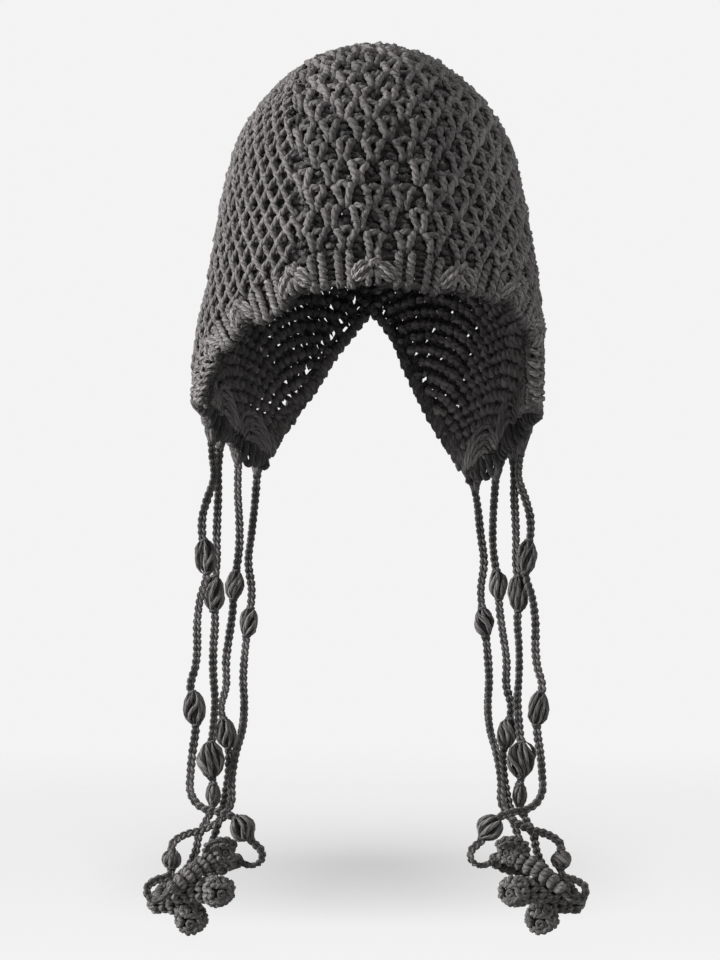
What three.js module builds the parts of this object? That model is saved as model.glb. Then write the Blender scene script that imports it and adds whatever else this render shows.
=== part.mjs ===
import * as THREE from 'three';
import { mergeVertices } from 'three/addons/utils/BufferGeometryUtils.js';

// An earflap beanie: one knitted sheet laid over the head and sewn up behind, a ribbed border
// round the face, a gathered hem under each flap, and four crochet ties a side with puffs and
// curled ends. Millimetres, +Z up, face towards -Y. The origin is the middle of the head,
// level with the front brim.

// Driving sizes of the hat
const crownHeight = 156;
const hatWidth = 207;
const frontDepth = 112;
const backDepth = 115;
const flapDrop = 110;
const wallThickness = 7;
const crownLean = 1.8;
const seatGap = 0.35;

// Driving sizes of the front dent, angles in degrees from the middle of the face
const dentDepth = 5;
const dentAngle = 6;
const dentSpread = 8;
const dentHeight = 46;
const dentReach = 30;

// Driving sizes of the border, the hem and the ties
const borderHeight = 20;
const ribRelief = 1.2;
const scallopRise = 3.5;
const ruffleDrop = 12.5;
const ruffleThickness = 11;
const ruffleWave = 1.8;
const ruffleLobes = 4;
const ruffleGather = 0.28;
const hemClearance = 1.55;
const cordDiameter = 4.4;
const puffClearance = 1.2;
const cordGap = 0.35;
const tieMirror = -2.1;

// How finely the sheet is divided: columns from the middle to a hem, rows from face to seam
const sheetColumns = 18;
const sheetRows = 20;
const relaxRounds = 160;
const unitsPerHalf = 14;
const ribSamples = 4;
const motifEvery = 3;

// Sections down the dome, from the apex (way 0) to below the flaps (way 1). Height is a share
// of the crown height above the brim and of the flap drop below it. The first row mirrors the
// third, so that the top is round.
const domeRows = [
  { way: -0.1, height: 0.942, width: -0.319, front: -0.34, back: -0.37, lean: 1 },
  { way: 0, height: 1, width: 0, front: 0, back: 0, lean: 1 },
  { way: 0.1, height: 0.942, width: 0.319, front: 0.34, back: 0.37, lean: 1 },
  { way: 0.17, height: 0.862, width: 0.493, front: 0.53, back: 0.58, lean: 1 },
  { way: 0.24, height: 0.756, width: 0.64, front: 0.7, back: 0.76, lean: 1 },
  { way: 0.31, height: 0.631, width: 0.762, front: 0.83, back: 0.89, lean: 1 },
  { way: 0.39, height: 0.471, width: 0.838, front: 0.93, back: 0.965, lean: 1 },
  { way: 0.5, height: 0.237, width: 0.908, front: 0.99, back: 1, lean: 1 },
  { way: 0.58, height: 0.077, width: 0.943, front: 1, back: 1, lean: 0.8 },
  { way: 0.66, height: -0.127, width: 0.99, front: 0.995, back: 0.99, lean: 0.2 },
  { way: 0.75, height: -0.39, width: 1, front: 0.98, back: 0.97, lean: -0.8 },
  { way: 1, height: -1.136, width: 0.975, front: 0.93, back: 0.92, lean: -1 },
];

// The sheet's edges on each side: degrees round from the middle of the face, and how far below
// the brim as a share of the flap drop.
const edgeRows = {
  left: {
    face: [
      { angle: 0, drop: 0.01 },
      { angle: 24, drop: 0.03 },
      { angle: 35, drop: 0.135 },
      { angle: 46, drop: 0.19 },
      { angle: 52, drop: 0.265 },
      { angle: 58, drop: 0.36 },
      { angle: 63, drop: 0.44 },
      { angle: 68, drop: 0.55 },
    ],
    hem: [
      { angle: 68, drop: 0.55 },
      { angle: 90, drop: 0.51 },
      { angle: 112, drop: 0.58 },
      { angle: 121, drop: 0.66 },
      { angle: 131, drop: 0.73 },
      { angle: 140, drop: 0.81 },
    ],
    back: [
      { angle: 147, drop: 0.68 },
      { angle: 153, drop: 0.565 },
      { angle: 161, drop: 0.41 },
      { angle: 166, drop: 0.265 },
      { angle: 171, drop: 0.155 },
      { angle: 176, drop: 0.05 },
      { angle: 180, drop: -0.03 },
    ],
  },
  right: {
    face: [
      { angle: 0, drop: 0.01 },
      { angle: 24, drop: 0.02 },
      { angle: 38, drop: 0.01 },
      { angle: 46, drop: 0.05 },
      { angle: 55, drop: 0.095 },
      { angle: 61, drop: 0.16 },
      { angle: 64, drop: 0.3 },
      { angle: 67, drop: 0.56 },
    ],
    hem: [
      { angle: 67, drop: 0.56 },
      { angle: 90, drop: 0.565 },
      { angle: 115, drop: 0.66 },
      { angle: 122, drop: 0.745 },
      { angle: 130, drop: 0.81 },
      { angle: 139, drop: 0.9 },
    ],
    back: [
      { angle: 145, drop: 0.81 },
      { angle: 151, drop: 0.7 },
      { angle: 157, drop: 0.555 },
      { angle: 165, drop: 0.33 },
      { angle: 171, drop: 0.14 },
      { angle: 176, drop: 0.04 },
      { angle: 180, drop: -0.03 },
    ],
  },
};
const seamTopWay = 0.12;
const faceCrowding = 0.5;

// The border's profile: share of the way up from its edge, and of the ribs' height there
const borderRows = [
  { up: 0, relief: 0.2 },
  { up: 0.5, relief: 1 },
  { up: 1, relief: 0 },
];

// A puff's profile: share of its length from the middle, and of its swell over the bore
const puffRows = [
  { along: -0.46, swell: 0 },
  { along: -0.5, swell: 0.2 },
  { along: -0.28, swell: 0.72 },
  { along: 0, swell: 1 },
  { along: 0.28, swell: 0.72 },
  { along: 0.5, swell: 0.2 },
  { along: 0.46, swell: 0 },
  { along: -0.46, swell: 0 },
];

// Ties of the left side: where each leaves its hem on either side, the points that it hangs
// through, the puffs on it by point number, and the spine and radii of its curled end. The
// right side's are their mirror image.
const ties = {
  a: {
    exit: { left: [-95.5, 41.5, -79.6], right: [91.5, 41.5, -85.8] },
    route: [
      [-95, 42, -89], [-94, 41, -102], [-98, 40, -115], [-101, 40, -126], [-101, 39, -138],
      [-98.5, 38, -150], [-98.5, 37.5, -162], [-102, 37, -174], [-104, 37, -189], [-104, 37, -206],
      [-105, 37, -216], [-108, 37, -228], [-105, 37, -241], [-105, 37, -255], [-107, 37, -269],
      [-108, 36, -281], [-108, 34, -291], [-104, 32, -298], [-97, 31, -302], [-89, 30, -303],
      [-82, 30, -306], [-76, 30, -312], [-71, 30, -320], [-65, 30, -326], [-65, 31, -332],
      [-71, 35, -336], [-78, 42, -335],
    ],
    puffs: [
      { point: 6, length: 22, width: 13 },
      { point: 13, length: 22, width: 14 },
      { point: 22, length: 17, width: 16 },
    ],
    end: { spine: [[-91, 51, -339], [-100, 54, -342]], radii: [3.4, 3.8, 3.6] },
  },
  b: {
    exit: { left: [-91, 52, -83.2], right: [87, 52.5, -90.6] },
    route: [
      [-92, 51, -97], [-92, 50, -112], [-93, 50, -137], [-93, 50, -155], [-95, 50, -173],
      [-94, 50, -189], [-95, 50, -206], [-95, 50, -222], [-94, 50, -237], [-95, 50, -254],
      [-97, 50, -273], [-95, 51, -296], [-98, 54, -308], [-104, 54, -320], [-106, 54, -330],
      [-111, 54, -340], [-120, 51, -347], [-126, 46, -350], [-125, 41, -351],
    ],
    puffs: [
      { point: 5, length: 23, width: 14 },
      { point: 11, length: 24, width: 18 },
      { point: 12, length: 15, width: 9.5 },
    ],
    end: {
      spine: [[-118, 34, -351], [-109, 30, -350], [-99, 25, -349], [-88, 20, -349]],
      radii: [6, 6.6, 7.2, 8.4],
    },
  },
  c: {
    exit: { left: [-80.8, 67, -93], right: [77.5, 67, -102.6] },
    route: [
      [-81, 66, -112], [-80, 65, -128], [-80, 65, -145], [-83, 64, -169], [-84, 64, -185],
      [-86, 64, -199], [-88, 63, -214], [-88, 63, -230], [-91, 63, -243], [-88, 63, -259],
      [-86, 63, -275], [-88, 64, -294], [-93, 66, -315], [-101, 66, -336], [-114, 62, -352],
      [-126, 57, -358],
    ],
    puffs: [
      { point: 4, length: 19, width: 12 },
      { point: 10, length: 20, width: 13 },
    ],
    end: {
      spine: [[-130, 52, -361], [-121, 47, -360], [-111, 42, -362], [-107, 38, -370]],
      radii: [4.6, 5.6, 6.6, 9],
    },
  },
  d: {
    exit: { left: [-69.5, 80.5, -99.2], right: [65.3, 80.5, -109.6] },
    route: [
      [-71, 81, -118], [-73, 80, -137], [-75, 79, -154], [-73, 79, -173], [-75, 78, -192],
      [-77, 77, -209], [-78, 75, -227], [-77, 69, -243], [-78, 60, -257], [-82, 52, -272],
      [-84, 48, -287], [-84, 46, -299], [-90, 43, -309], [-101, 42, -315], [-112, 41, -318],
      [-119, 38, -323], [-119, 34, -332], [-120, 30, -341], [-127, 28, -343], [-133, 26, -347],
      [-132, 24, -353], [-126, 22, -354], [-120, 21, -349],
    ],
    puffs: [
      { point: 5, length: 19, width: 12.5 },
      { point: 17, length: 12, width: 12 },
    ],
    end: {
      spine: [[-109, 23, -340], [-101, 28, -335], [-93, 32, -330], [-86, 32, -327]],
      radii: [3.4, 4.4, 4.8, 5.4],
    },
  },
};
const cordSides = 8;
const cordStep = 12.5;
const puffSides = 8;
const hemSides = 8;
const hemSteps = 20;
const endSides = 8;
const endSteps = 6;

// How much of a curled end's half length is rounded off, and what is left of its radius there
const endRounding = 0.45;
const endFullness = 0.52;

const knitMaterial = new THREE.MeshStandardMaterial({ color: 0x4a4748, roughness: 0.95, metalness: 0 });
const borderMaterial = knitMaterial.clone();
const cordMaterial = knitMaterial.clone();
const hat = new THREE.Group();

// Adds a geometry to the hat as one closed solid whose faces point out.
function addSolid(name, geometry, material) {
  geometry.deleteAttribute('normal');
  geometry.deleteAttribute('uv');
  const merged = mergeVertices(geometry, 1e-4);
  const corner = [new THREE.Vector3(), new THREE.Vector3(), new THREE.Vector3()];
  let volume = 0;
  const positions = merged.attributes.position;
  for (let k = 0; k < merged.index.count; k += 3) {
    corner.forEach((point, n) => point.fromBufferAttribute(positions, merged.index.getX(k + n)));
    volume += corner[0].dot(corner[1].cross(corner[2]));
  }
  if (volume < 0) {
    merged.index.array.reverse();
  }
  merged.computeVertexNormals();
  const mesh = new THREE.Mesh(merged, material);
  mesh.name = name;
  hat.add(mesh);
}

// Joins four-sided faces, each a list of four points, into one geometry.
function quadGeometry(quads) {
  const positions = [];
  for (const [first, second, third, fourth] of quads) {
    for (const point of [first, second, third, first, third, fourth]) {
      positions.push(point.x, point.y, point.z);
    }
  }
  const geometry = new THREE.BufferGeometry();
  geometry.setAttribute('position', new THREE.Float32BufferAttribute(positions, 3));
  return geometry;
}

// A skin through closed rings of points, with its two ends closed by a fan.
function loftGeometry(rings) {
  const sides = rings[0].length;
  const quads = [];
  for (let k = 1; k < rings.length; k++) {
    for (let n = 0; n < sides; n++) {
      const next = (n + 1) % sides;
      quads.push([rings[k - 1][n], rings[k - 1][next], rings[k][next], rings[k][n]]);
    }
  }
  for (const ring of [rings[0].slice().reverse(), rings.at(-1)]) {
    const middle = ring.reduce((sum, point) => sum.add(point), new THREE.Vector3()).divideScalar(sides);
    for (let n = 0; n < sides; n += 2) {
      quads.push([middle, ring[n], ring[n + 1], ring[(n + 2) % sides]]);
    }
  }
  return quadGeometry(quads);
}

// One column of the dome's rows at some way down, as a smooth curve through the rows.
function domeValue(column, way) {
  let k = 1;
  while (k < domeRows.length - 2 && way > domeRows[k + 1].way) {
    k++;
  }
  const slope = (n) => {
    const before = domeRows[Math.max(n - 1, 0)];
    const after = domeRows[Math.min(n + 1, domeRows.length - 1)];
    return (after[column] - before[column]) / (after.way - before.way);
  };
  const span = domeRows[k + 1].way - domeRows[k].way;
  const part = (way - domeRows[k].way) / span;
  const square = part * part;
  const cube = square * part;
  return (2 * cube - 3 * square + 1) * domeRows[k][column]
    + (cube - 2 * square + part) * span * slope(k)
    + (3 * square - 2 * cube) * domeRows[k + 1][column]
    + (cube - square) * span * slope(k + 1);
}

// Height above the brim at some way down the dome.
function heightAt(way) {
  const share = domeValue('height', way);
  return share * (share > 0 ? crownHeight : flapDrop);
}

// A place is a point (sideways, backwards) of a flat disc: its distance from the middle is the
// way down the dome, its direction the way round. This gives the outside of the hat there.
function outside(place) {
  const way = Math.max(place.length(), 1e-6);
  const sine = place.x / way;
  const cosine = -place.y / way;
  const depth = cosine > 0 ? frontDepth * domeValue('front', way) : backDepth * domeValue('back', way);
  const height = heightAt(way);
  const degrees = THREE.MathUtils.radToDeg(Math.atan2(sine, cosine));
  const across = (degrees - dentAngle) / dentSpread;
  const along = (height - dentHeight) / dentReach;
  const dent = dentDepth * Math.exp(-across * across - along * along);
  const x = (hatWidth / 2) * domeValue('width', way) * sine + crownLean * domeValue('lean', way);
  return new THREE.Vector3(x, -depth * cosine + dent, height);
}

// The direction straight out of the hat at a place.
function outwards(place) {
  const step = 0.004;
  const shift = (x, y) => outside(new THREE.Vector2(place.x + x, place.y + y));
  const sideways = shift(step, 0).sub(shift(-step, 0));
  const backwards = shift(0, step).sub(shift(0, -step));
  return sideways.cross(backwards).normalize();
}

// The place of an edge row, found by halving.
function edgePlace(row, side) {
  const height = -row.drop * flapDrop;
  let low = 0;
  let high = 1;
  for (let k = 0; k < 40; k++) {
    const middle = (low + high) / 2;
    if (heightAt(middle) > height) {
      low = middle;
    } else {
      high = middle;
    }
  }
  const radians = THREE.MathUtils.degToRad(row.angle);
  return new THREE.Vector2(side * low * Math.sin(radians), -low * Math.cos(radians));
}

// Places spread along a smooth line through the given ones by their distance on the hat.
// Crowding brings them closer together towards the far end.
function spreadPlaces(places, count, crowding = 0) {
  const line = new THREE.CatmullRomCurve3(places.map((place) => new THREE.Vector3(place.x, place.y, 0)));
  line.curveType = 'centripetal';
  const fine = line.getPoints(240).map((point) => new THREE.Vector2(point.x, point.y));
  const lengths = [0];
  for (let k = 1; k < fine.length; k++) {
    lengths.push(lengths[k - 1] + outside(fine[k]).distanceTo(outside(fine[k - 1])));
  }
  const spread = [];
  for (let n = 0; n <= count; n++) {
    const share = n / count;
    const reach = lengths.at(-1) * (1 + crowding - crowding * share) * share;
    let k = 1;
    while (k < fine.length - 1 && lengths[k] < reach) {
      k++;
    }
    const part = (reach - lengths[k - 1]) / (lengths[k] - lengths[k - 1]);
    spread.push(fine[k - 1].clone().lerp(fine[k], part));
  }
  return spread;
}

// How far a place moves on the disc for its point to follow a pull along the hat's surface.
function placeStep(place, point, pull) {
  const step = 0.002;
  const sideways = outside(place.clone().add(new THREE.Vector2(step, 0))).sub(point).divideScalar(step);
  const backwards = outside(place.clone().add(new THREE.Vector2(0, step))).sub(point).divideScalar(step);
  const [a, b, c] = [sideways.dot(sideways), sideways.dot(backwards), backwards.dot(backwards)];
  const [d, e] = [sideways.dot(pull), backwards.dot(pull)];
  const scale = 1 / (a * c - b * b);
  return new THREE.Vector2((c * d - b * e) * scale, (a * e - b * d) * scale);
}

// Half of the knitted sheet as a grid of places. Columns run over the head from the face edge
// to the seam, rows run from the middle of the head down to the hem. The grid starts as a
// patch between its four edges and is then evened out by drawing each point to its neighbours.
function relaxedSheet(side, rows) {
  const centre = [edgePlace(rows.face[0], side), new THREE.Vector2(0, 0), new THREE.Vector2(0, seamTopWay)];
  const seam = [new THREE.Vector2(0, seamTopWay), edgePlace(rows.back.at(-1), side)];
  const face = spreadPlaces(rows.face.map((row) => edgePlace(row, side)), sheetColumns, faceCrowding);
  const lower = spreadPlaces([...rows.hem, ...rows.back].map((row) => edgePlace(row, side)), sheetRows);
  const middle = spreadPlaces(centre, sheetRows);
  const back = spreadPlaces(seam, sheetColumns);
  const grid = [];
  for (let i = 0; i <= sheetColumns; i++) {
    const s = i / sheetColumns;
    grid.push([]);
    for (let j = 0; j <= sheetRows; j++) {
      const t = j / sheetRows;
      const place = new THREE.Vector2();
      place.addScaledVector(face[i], 1 - t).addScaledVector(back[i], t);
      place.addScaledVector(middle[j], 1 - s).addScaledVector(lower[j], s);
      place.addScaledVector(face[0], -(1 - s) * (1 - t)).addScaledVector(back[0], -(1 - s) * t);
      place.addScaledVector(lower[0], -s * (1 - t)).addScaledVector(back.at(-1), -s * t);
      grid[i].push(place);
    }
  }
  for (let round = 0; round < relaxRounds; round++) {
    const points = grid.map((column) => column.map(outside));
    for (let i = 1; i < sheetColumns; i++) {
      for (let j = 1; j < sheetRows; j++) {
        const pull = points[i - 1][j].clone().add(points[i + 1][j]);
        pull.add(points[i][j - 1]).add(points[i][j + 1]).divideScalar(4).sub(points[i][j]);
        grid[i][j].add(placeStep(grid[i][j], points[i][j], pull));
      }
    }
  }
  return grid;
}

const sheets = {
  left: relaxedSheet(-1, edgeRows.left),
  right: relaxedSheet(1, edgeRows.right),
};

// The place at a share of the way down the columns and across the rows of a half sheet.
function sheetPlace(sheet, s, t) {
  const across = THREE.MathUtils.clamp(s, 0, 1) * sheetColumns;
  const along = THREE.MathUtils.clamp(t, 0, 1) * sheetRows;
  const i = Math.min(Math.floor(across), sheetColumns - 1);
  const j = Math.min(Math.floor(along), sheetRows - 1);
  const near = sheet[i][j].clone().lerp(sheet[i][j + 1], along - j);
  const far = sheet[i + 1][j].clone().lerp(sheet[i + 1][j + 1], along - j);
  return near.lerp(far, across - i);
}

// A point of the wall at a place, so far out from the outside face.
function wallPoint(place, out) {
  return outside(place).addScaledVector(outwards(place), out);
}

// The share of a half sheet's rows that covers a length at the face edge, at a column.
function rowShare(sheet, s, length) {
  const edge = outside(sheetPlace(sheet, s, 0));
  const inner = outside(sheetPlace(sheet, s, 2 / sheetRows));
  return (length / edge.distanceTo(inner)) * (2 / sheetRows);
}

// A point of the wall so far up from the face edge and out from the outside face. Between two
// columns it lies on the straight line, so that the border and the crown meet evenly.
function facePoint(sheet, s, length, out) {
  const across = s * sheetColumns;
  const i = Math.min(Math.floor(across), sheetColumns - 1);
  const [near, far] = [i, i + 1].map((column) => {
    const share = column / sheetColumns;
    return wallPoint(sheetPlace(sheet, share, rowShare(sheet, share, length)), out);
  });
  return near.lerp(far, across - i);
}

// Crown and flaps: two halves of the sheet, outer and inner walls, joined along the middle of
// the head and the seam, and closed round the edges.
function buildCrown() {
  const quads = [];
  for (const [sideName, sheet] of Object.entries(sheets)) {
    const walls = sheet.map((column, i) => {
      const s = i / sheetColumns;
      const start = rowShare(sheet, s, borderHeight + seatGap);
      return column.map((_, j) => {
        const place = sheetPlace(sheet, s, start + (1 - start) * (j / sheetRows));
        return { outer: wallPoint(place, 0), inner: wallPoint(place, -wallThickness) };
      });
    });
    const faces = [];
    for (let i = 0; i < sheetColumns; i++) {
      for (let j = 0; j < sheetRows; j++) {
        const [a, b, c, d] = [walls[i + 1][j], walls[i + 1][j + 1], walls[i][j + 1], walls[i][j]];
        faces.push([a.outer, b.outer, c.outer, d.outer]);
        faces.push([a.inner, d.inner, c.inner, b.inner]);
      }
      const [near, far] = [walls[i][0], walls[i + 1][0]];
      faces.push([near.inner, far.inner, far.outer, near.outer]);
    }
    for (let j = 0; j < sheetRows; j++) {
      const [near, far] = [walls[sheetColumns][j], walls[sheetColumns][j + 1]];
      faces.push([near.inner, far.inner, far.outer, near.outer]);
    }
    quads.push(...(sideName === 'left' ? faces : faces.map((face) => face.slice().reverse())));
  }
  addSolid('knitted_crown_and_flaps', quadGeometry(quads), knitMaterial);
}

// Height of the ribs along the border: one rib pair a unit.
function ribHeight(unit) {
  return ribRelief * Math.cos(2 * Math.PI * unit);
}

// How far the border's edge rises at a motif, 1 at its middle.
function motifShare(unit) {
  const distance = Math.abs(unit / motifEvery - Math.round(unit / motifEvery)) * motifEvery;
  return Math.max(0, 1 - distance / 0.8);
}

// Border round the face: ribs on its outside and a scalloped lower edge.
function buildBorder() {
  const steps = sheetColumns * ribSamples;
  const rings = [];
  for (let k = -steps; k <= steps; k++) {
    const sheet = k < 0 ? sheets.left : sheets.right;
    const s = Math.abs(k) / steps;
    const unit = s * unitsPerHalf;
    const rise = scallopRise * motifShare(unit);
    const ring = [];
    for (const { up, relief } of borderRows) {
      ring.push(facePoint(sheet, s, rise + (borderHeight - rise) * up, relief * ribHeight(unit)));
    }
    for (const { up } of borderRows.toReversed()) {
      ring.push(facePoint(sheet, s, rise + (borderHeight - rise) * up, -wallThickness));
    }
    rings.push(ring);
  }
  addSolid('face_border_band', loftGeometry(rings), borderMaterial);
}

// Gathered hem under a flap: a soft roll that swells into lobes and waves in and out.
function buildHem(sideName) {
  const side = sideName === 'left' ? -1 : 1;
  const corner = Math.cos(Math.PI / hemSides);
  const places = spreadPlaces(edgeRows[sideName].hem.map((row) => edgePlace(row, side)), hemSteps);
  const rings = places.map((place, k) => {
    const lobe = 2 * Math.PI * ruffleLobes * (k / hemSteps);
    const fullness = 1 - ruffleGather * (0.5 + 0.5 * Math.cos(lobe));
    const drop = ruffleDrop * fullness;
    const thickness = ruffleThickness * fullness;
    const out = outwards(place);
    const middle = wallPoint(place, ruffleWave * Math.sin(lobe) - wallThickness / 2);
    middle.z -= drop / 2 + hemClearance;
    const ring = [];
    for (let n = 0; n < hemSides; n++) {
      const turn = (2 * Math.PI * (n + 0.5)) / hemSides;
      const point = middle.clone().addScaledVector(out, (Math.cos(turn) * thickness) / 2 / corner);
      point.z += (Math.sin(turn) * drop) / 2 / corner;
      ring.push(point);
    }
    return ring;
  });
  addSolid(`${sideName}_gathered_hem`, loftGeometry(rings), knitMaterial);
}

// A puff on a cord: a ring of revolution shaped like a lemon, with a bore for the cord.
function puffGeometry(length, width) {
  const bore = cordDiameter / 2 + puffClearance;
  const reach = width / 2 - bore;
  const profile = puffRows.map(({ along, swell }) => new THREE.Vector2(bore + reach * swell, along * length));
  return new THREE.LatheGeometry(profile, puffSides);
}

// A curled end: a thick stuffed roll along its spine, rounded at both ends.
function endGeometry(spine, radii) {
  const line = new THREE.CatmullRomCurve3(spine);
  const frames = line.computeFrenetFrames(endSteps);
  const rings = [];
  for (let k = 0; k <= endSteps; k++) {
    const share = k / endSteps;
    const slot = Math.min(Math.floor(share * (radii.length - 1)), radii.length - 2);
    const part = share * (radii.length - 1) - slot;
    const nearEnd = Math.max(0, Math.abs(2 * share - 1) - 1 + endRounding) / endRounding;
    const rounding = Math.sqrt(1 - (1 - endFullness ** 2) * nearEnd ** 2);
    const radius = (radii[slot] * (1 - part) + radii[slot + 1] * part) * rounding;
    const middle = line.getPointAt(share);
    const ring = [];
    for (let n = 0; n < endSides; n++) {
      const turn = (2 * Math.PI * n) / endSides;
      const point = middle.clone().addScaledVector(frames.normals[k], Math.cos(turn) * radius);
      ring.push(point.addScaledVector(frames.binormals[k], Math.sin(turn) * radius));
    }
    rings.push(ring);
  }
  return loftGeometry(rings);
}

// One tie: its cord, the puffs that it runs through and the curled end it is sewn to.
function buildTie(sideName, tieName) {
  const tie = ties[tieName];
  const place = ([x, y, z]) => new THREE.Vector3(sideName === 'left' ? x : 2 * tieMirror - x, y, z);
  const name = `${sideName}_tie_${tieName}`;
  const points = [new THREE.Vector3(...tie.exit[sideName]), ...tie.route.map(place)];
  const line = new THREE.CatmullRomCurve3(points);
  const section = new THREE.Shape();
  for (let n = 0; n < cordSides; n++) {
    const turn = (2 * Math.PI * n) / cordSides;
    const corner = [Math.cos(turn) * cordDiameter / 2, Math.sin(turn) * cordDiameter / 2];
    if (n === 0) {
      section.moveTo(...corner);
    } else {
      section.lineTo(...corner);
    }
  }
  const steps = Math.ceil(line.getLength() / cordStep);
  const cord = new THREE.ExtrudeGeometry(section, { steps, extrudePath: line, bevelEnabled: false });
  addSolid(name, cord, cordMaterial);
  tie.puffs.forEach((puff, n) => {
    const share = puff.point / (points.length - 1);
    const nudge = 0.001;
    const pace = line.getPoint(share + nudge).distanceTo(line.getPoint(share - nudge)) / (2 * nudge);
    const upper = line.getPoint(share - puff.length / 2 / pace);
    const lower = line.getPoint(share + puff.length / 2 / pace);
    const direction = lower.clone().sub(upper).normalize();
    const middle = upper.lerp(lower, 0.5).lerp(points[puff.point], 0.5);
    const turn = new THREE.Quaternion().setFromUnitVectors(new THREE.Vector3(0, 1, 0), direction);
    const geometry = puffGeometry(puff.length, puff.width).applyQuaternion(turn).translate(...middle);
    addSolid(`${name}_puff_${n + 1}`, geometry, cordMaterial);
  });
  const away = line.getTangent(1);
  const start = [cordGap, cordDiameter].map((reach) => points.at(-1).clone().addScaledVector(away, reach));
  const spine = [...start, ...tie.end.spine.map(place)];
  addSolid(`${name}_curled_end`, endGeometry(spine, tie.end.radii), cordMaterial);
}

buildCrown();
buildBorder();
for (const sideName of ['left', 'right']) {
  buildHem(sideName);
  for (const tieName of Object.keys(ties)) {
    buildTie(sideName, tieName);
  }
}

export default hat;
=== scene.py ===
# Looks of the knitted earflap beanie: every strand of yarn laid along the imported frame.
# Metres, +Z up, face towards -Y. The origin is the middle of the head.

import math

import bmesh
import bpy
import numpy as np
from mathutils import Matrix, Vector


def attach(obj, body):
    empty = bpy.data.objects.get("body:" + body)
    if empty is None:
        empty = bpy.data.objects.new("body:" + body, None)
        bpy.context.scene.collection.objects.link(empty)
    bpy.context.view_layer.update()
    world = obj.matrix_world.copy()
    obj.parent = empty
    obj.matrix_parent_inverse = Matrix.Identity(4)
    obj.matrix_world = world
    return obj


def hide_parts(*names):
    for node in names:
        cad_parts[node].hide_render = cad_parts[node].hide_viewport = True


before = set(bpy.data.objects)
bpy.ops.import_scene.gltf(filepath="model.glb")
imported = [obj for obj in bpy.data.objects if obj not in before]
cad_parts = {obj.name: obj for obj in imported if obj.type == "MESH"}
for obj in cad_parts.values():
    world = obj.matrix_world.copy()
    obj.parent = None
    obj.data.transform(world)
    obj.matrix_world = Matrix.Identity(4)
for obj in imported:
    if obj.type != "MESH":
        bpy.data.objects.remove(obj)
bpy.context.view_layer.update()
random = np.random.default_rng(7)


# Camera, level with the lower edge of the flaps, 1.5 m in front

view = {
    "place": (-0.0059, -1.5, -0.1037),
    "lens": 95.66,
    "sensor": 36.0,
}

cameraData = bpy.data.cameras.new("camera")
cameraData.lens = view["lens"]
cameraData.sensor_width = view["sensor"]
cameraData.dof.use_dof = False
camera = bpy.data.objects.new("camera", cameraData)
camera.location = view["place"]
camera.rotation_euler = (math.radians(90), 0, 0)
bpy.context.scene.collection.objects.link(camera)
bpy.context.scene.camera = camera
print("camera set")


# Yarn: strands are gathered as point lists, laid as one bevelled curve and turned into a mesh

def newYarn():
    return {"points": [], "radii": [], "shades": [], "tapers": []}


# taper closes a long strand's ends over three points, otherwise only the end points narrow
def addStrand(yarn, points, radii, shade=0.5, taper=True):
    points = np.asarray(points, dtype=float)
    yarn["points"].append(points)
    yarn["radii"].append(np.broadcast_to(np.asarray(radii, dtype=float), len(points)).copy())
    yarn["shades"].append(np.broadcast_to(np.asarray(shade, dtype=float), len(points)).copy())
    yarn["tapers"].append(taper)


# From start to finish by the slopes there
def hermite(part, start, finish, slopeStart, slopeFinish):
    square = part * part
    cube = square * part
    return ((2 * cube - 3 * square + 1) * start + (cube - 2 * square + part) * slopeStart
            + (3 * square - 2 * cube) * finish + (cube - square) * slopeFinish)


def withEnds(rows):
    return np.vstack([2 * rows[0] - rows[1], rows, 2 * rows[-1] - rows[-2]])


# A smooth line through rows of numbers, with steps points between each two rows
def smoothRows(rows, steps):
    rows = np.asarray(rows, dtype=float)
    ends = withEnds(rows)
    slopes = (ends[2:] - ends[:-2]) / 2
    made = [hermite(part, rows[k], rows[k + 1], slopes[k], slopes[k + 1])
            for k in range(len(rows) - 1) for part in np.arange(steps) / steps]
    return np.vstack(made + [rows[-1]])


# Distance along a line at each of its points
def reachOf(line):
    return np.concatenate([[0], np.cumsum(np.linalg.norm(np.diff(line, axis=0), axis=1))])


# What columns of values come to at other places than their own
def valuesAt(where, places, values):
    return np.array([np.interp(where, places, column) for column in values.T]).T


# Radius of a strand's closed tip, and how its ends narrow to it over three points
tipRadius = 0.00002
tipShares = (0.0, 0.62, 0.92)
tubeSides = 6
unevenness = {"everyOther": 0.8, "any": 0.6, "bend": 0.0017}

# Painted shade by millimetres out of the face: full brightness at the face, least in the pits, some behind
pit = {"bottom": -5.6, "face": 4.4, "reverse": -6.6, "back": 1.4, "least": 0.03, "behind": 0.6}


def paintedPitShade(out):
    face = np.clip((out - pit["bottom"]) / pit["face"], 0, 1)
    back = np.clip((pit["reverse"] - out) / pit["back"], 0, 1)
    return pit["least"] + (1 - pit["least"]) * np.maximum(face, pit["behind"] * back)


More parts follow.
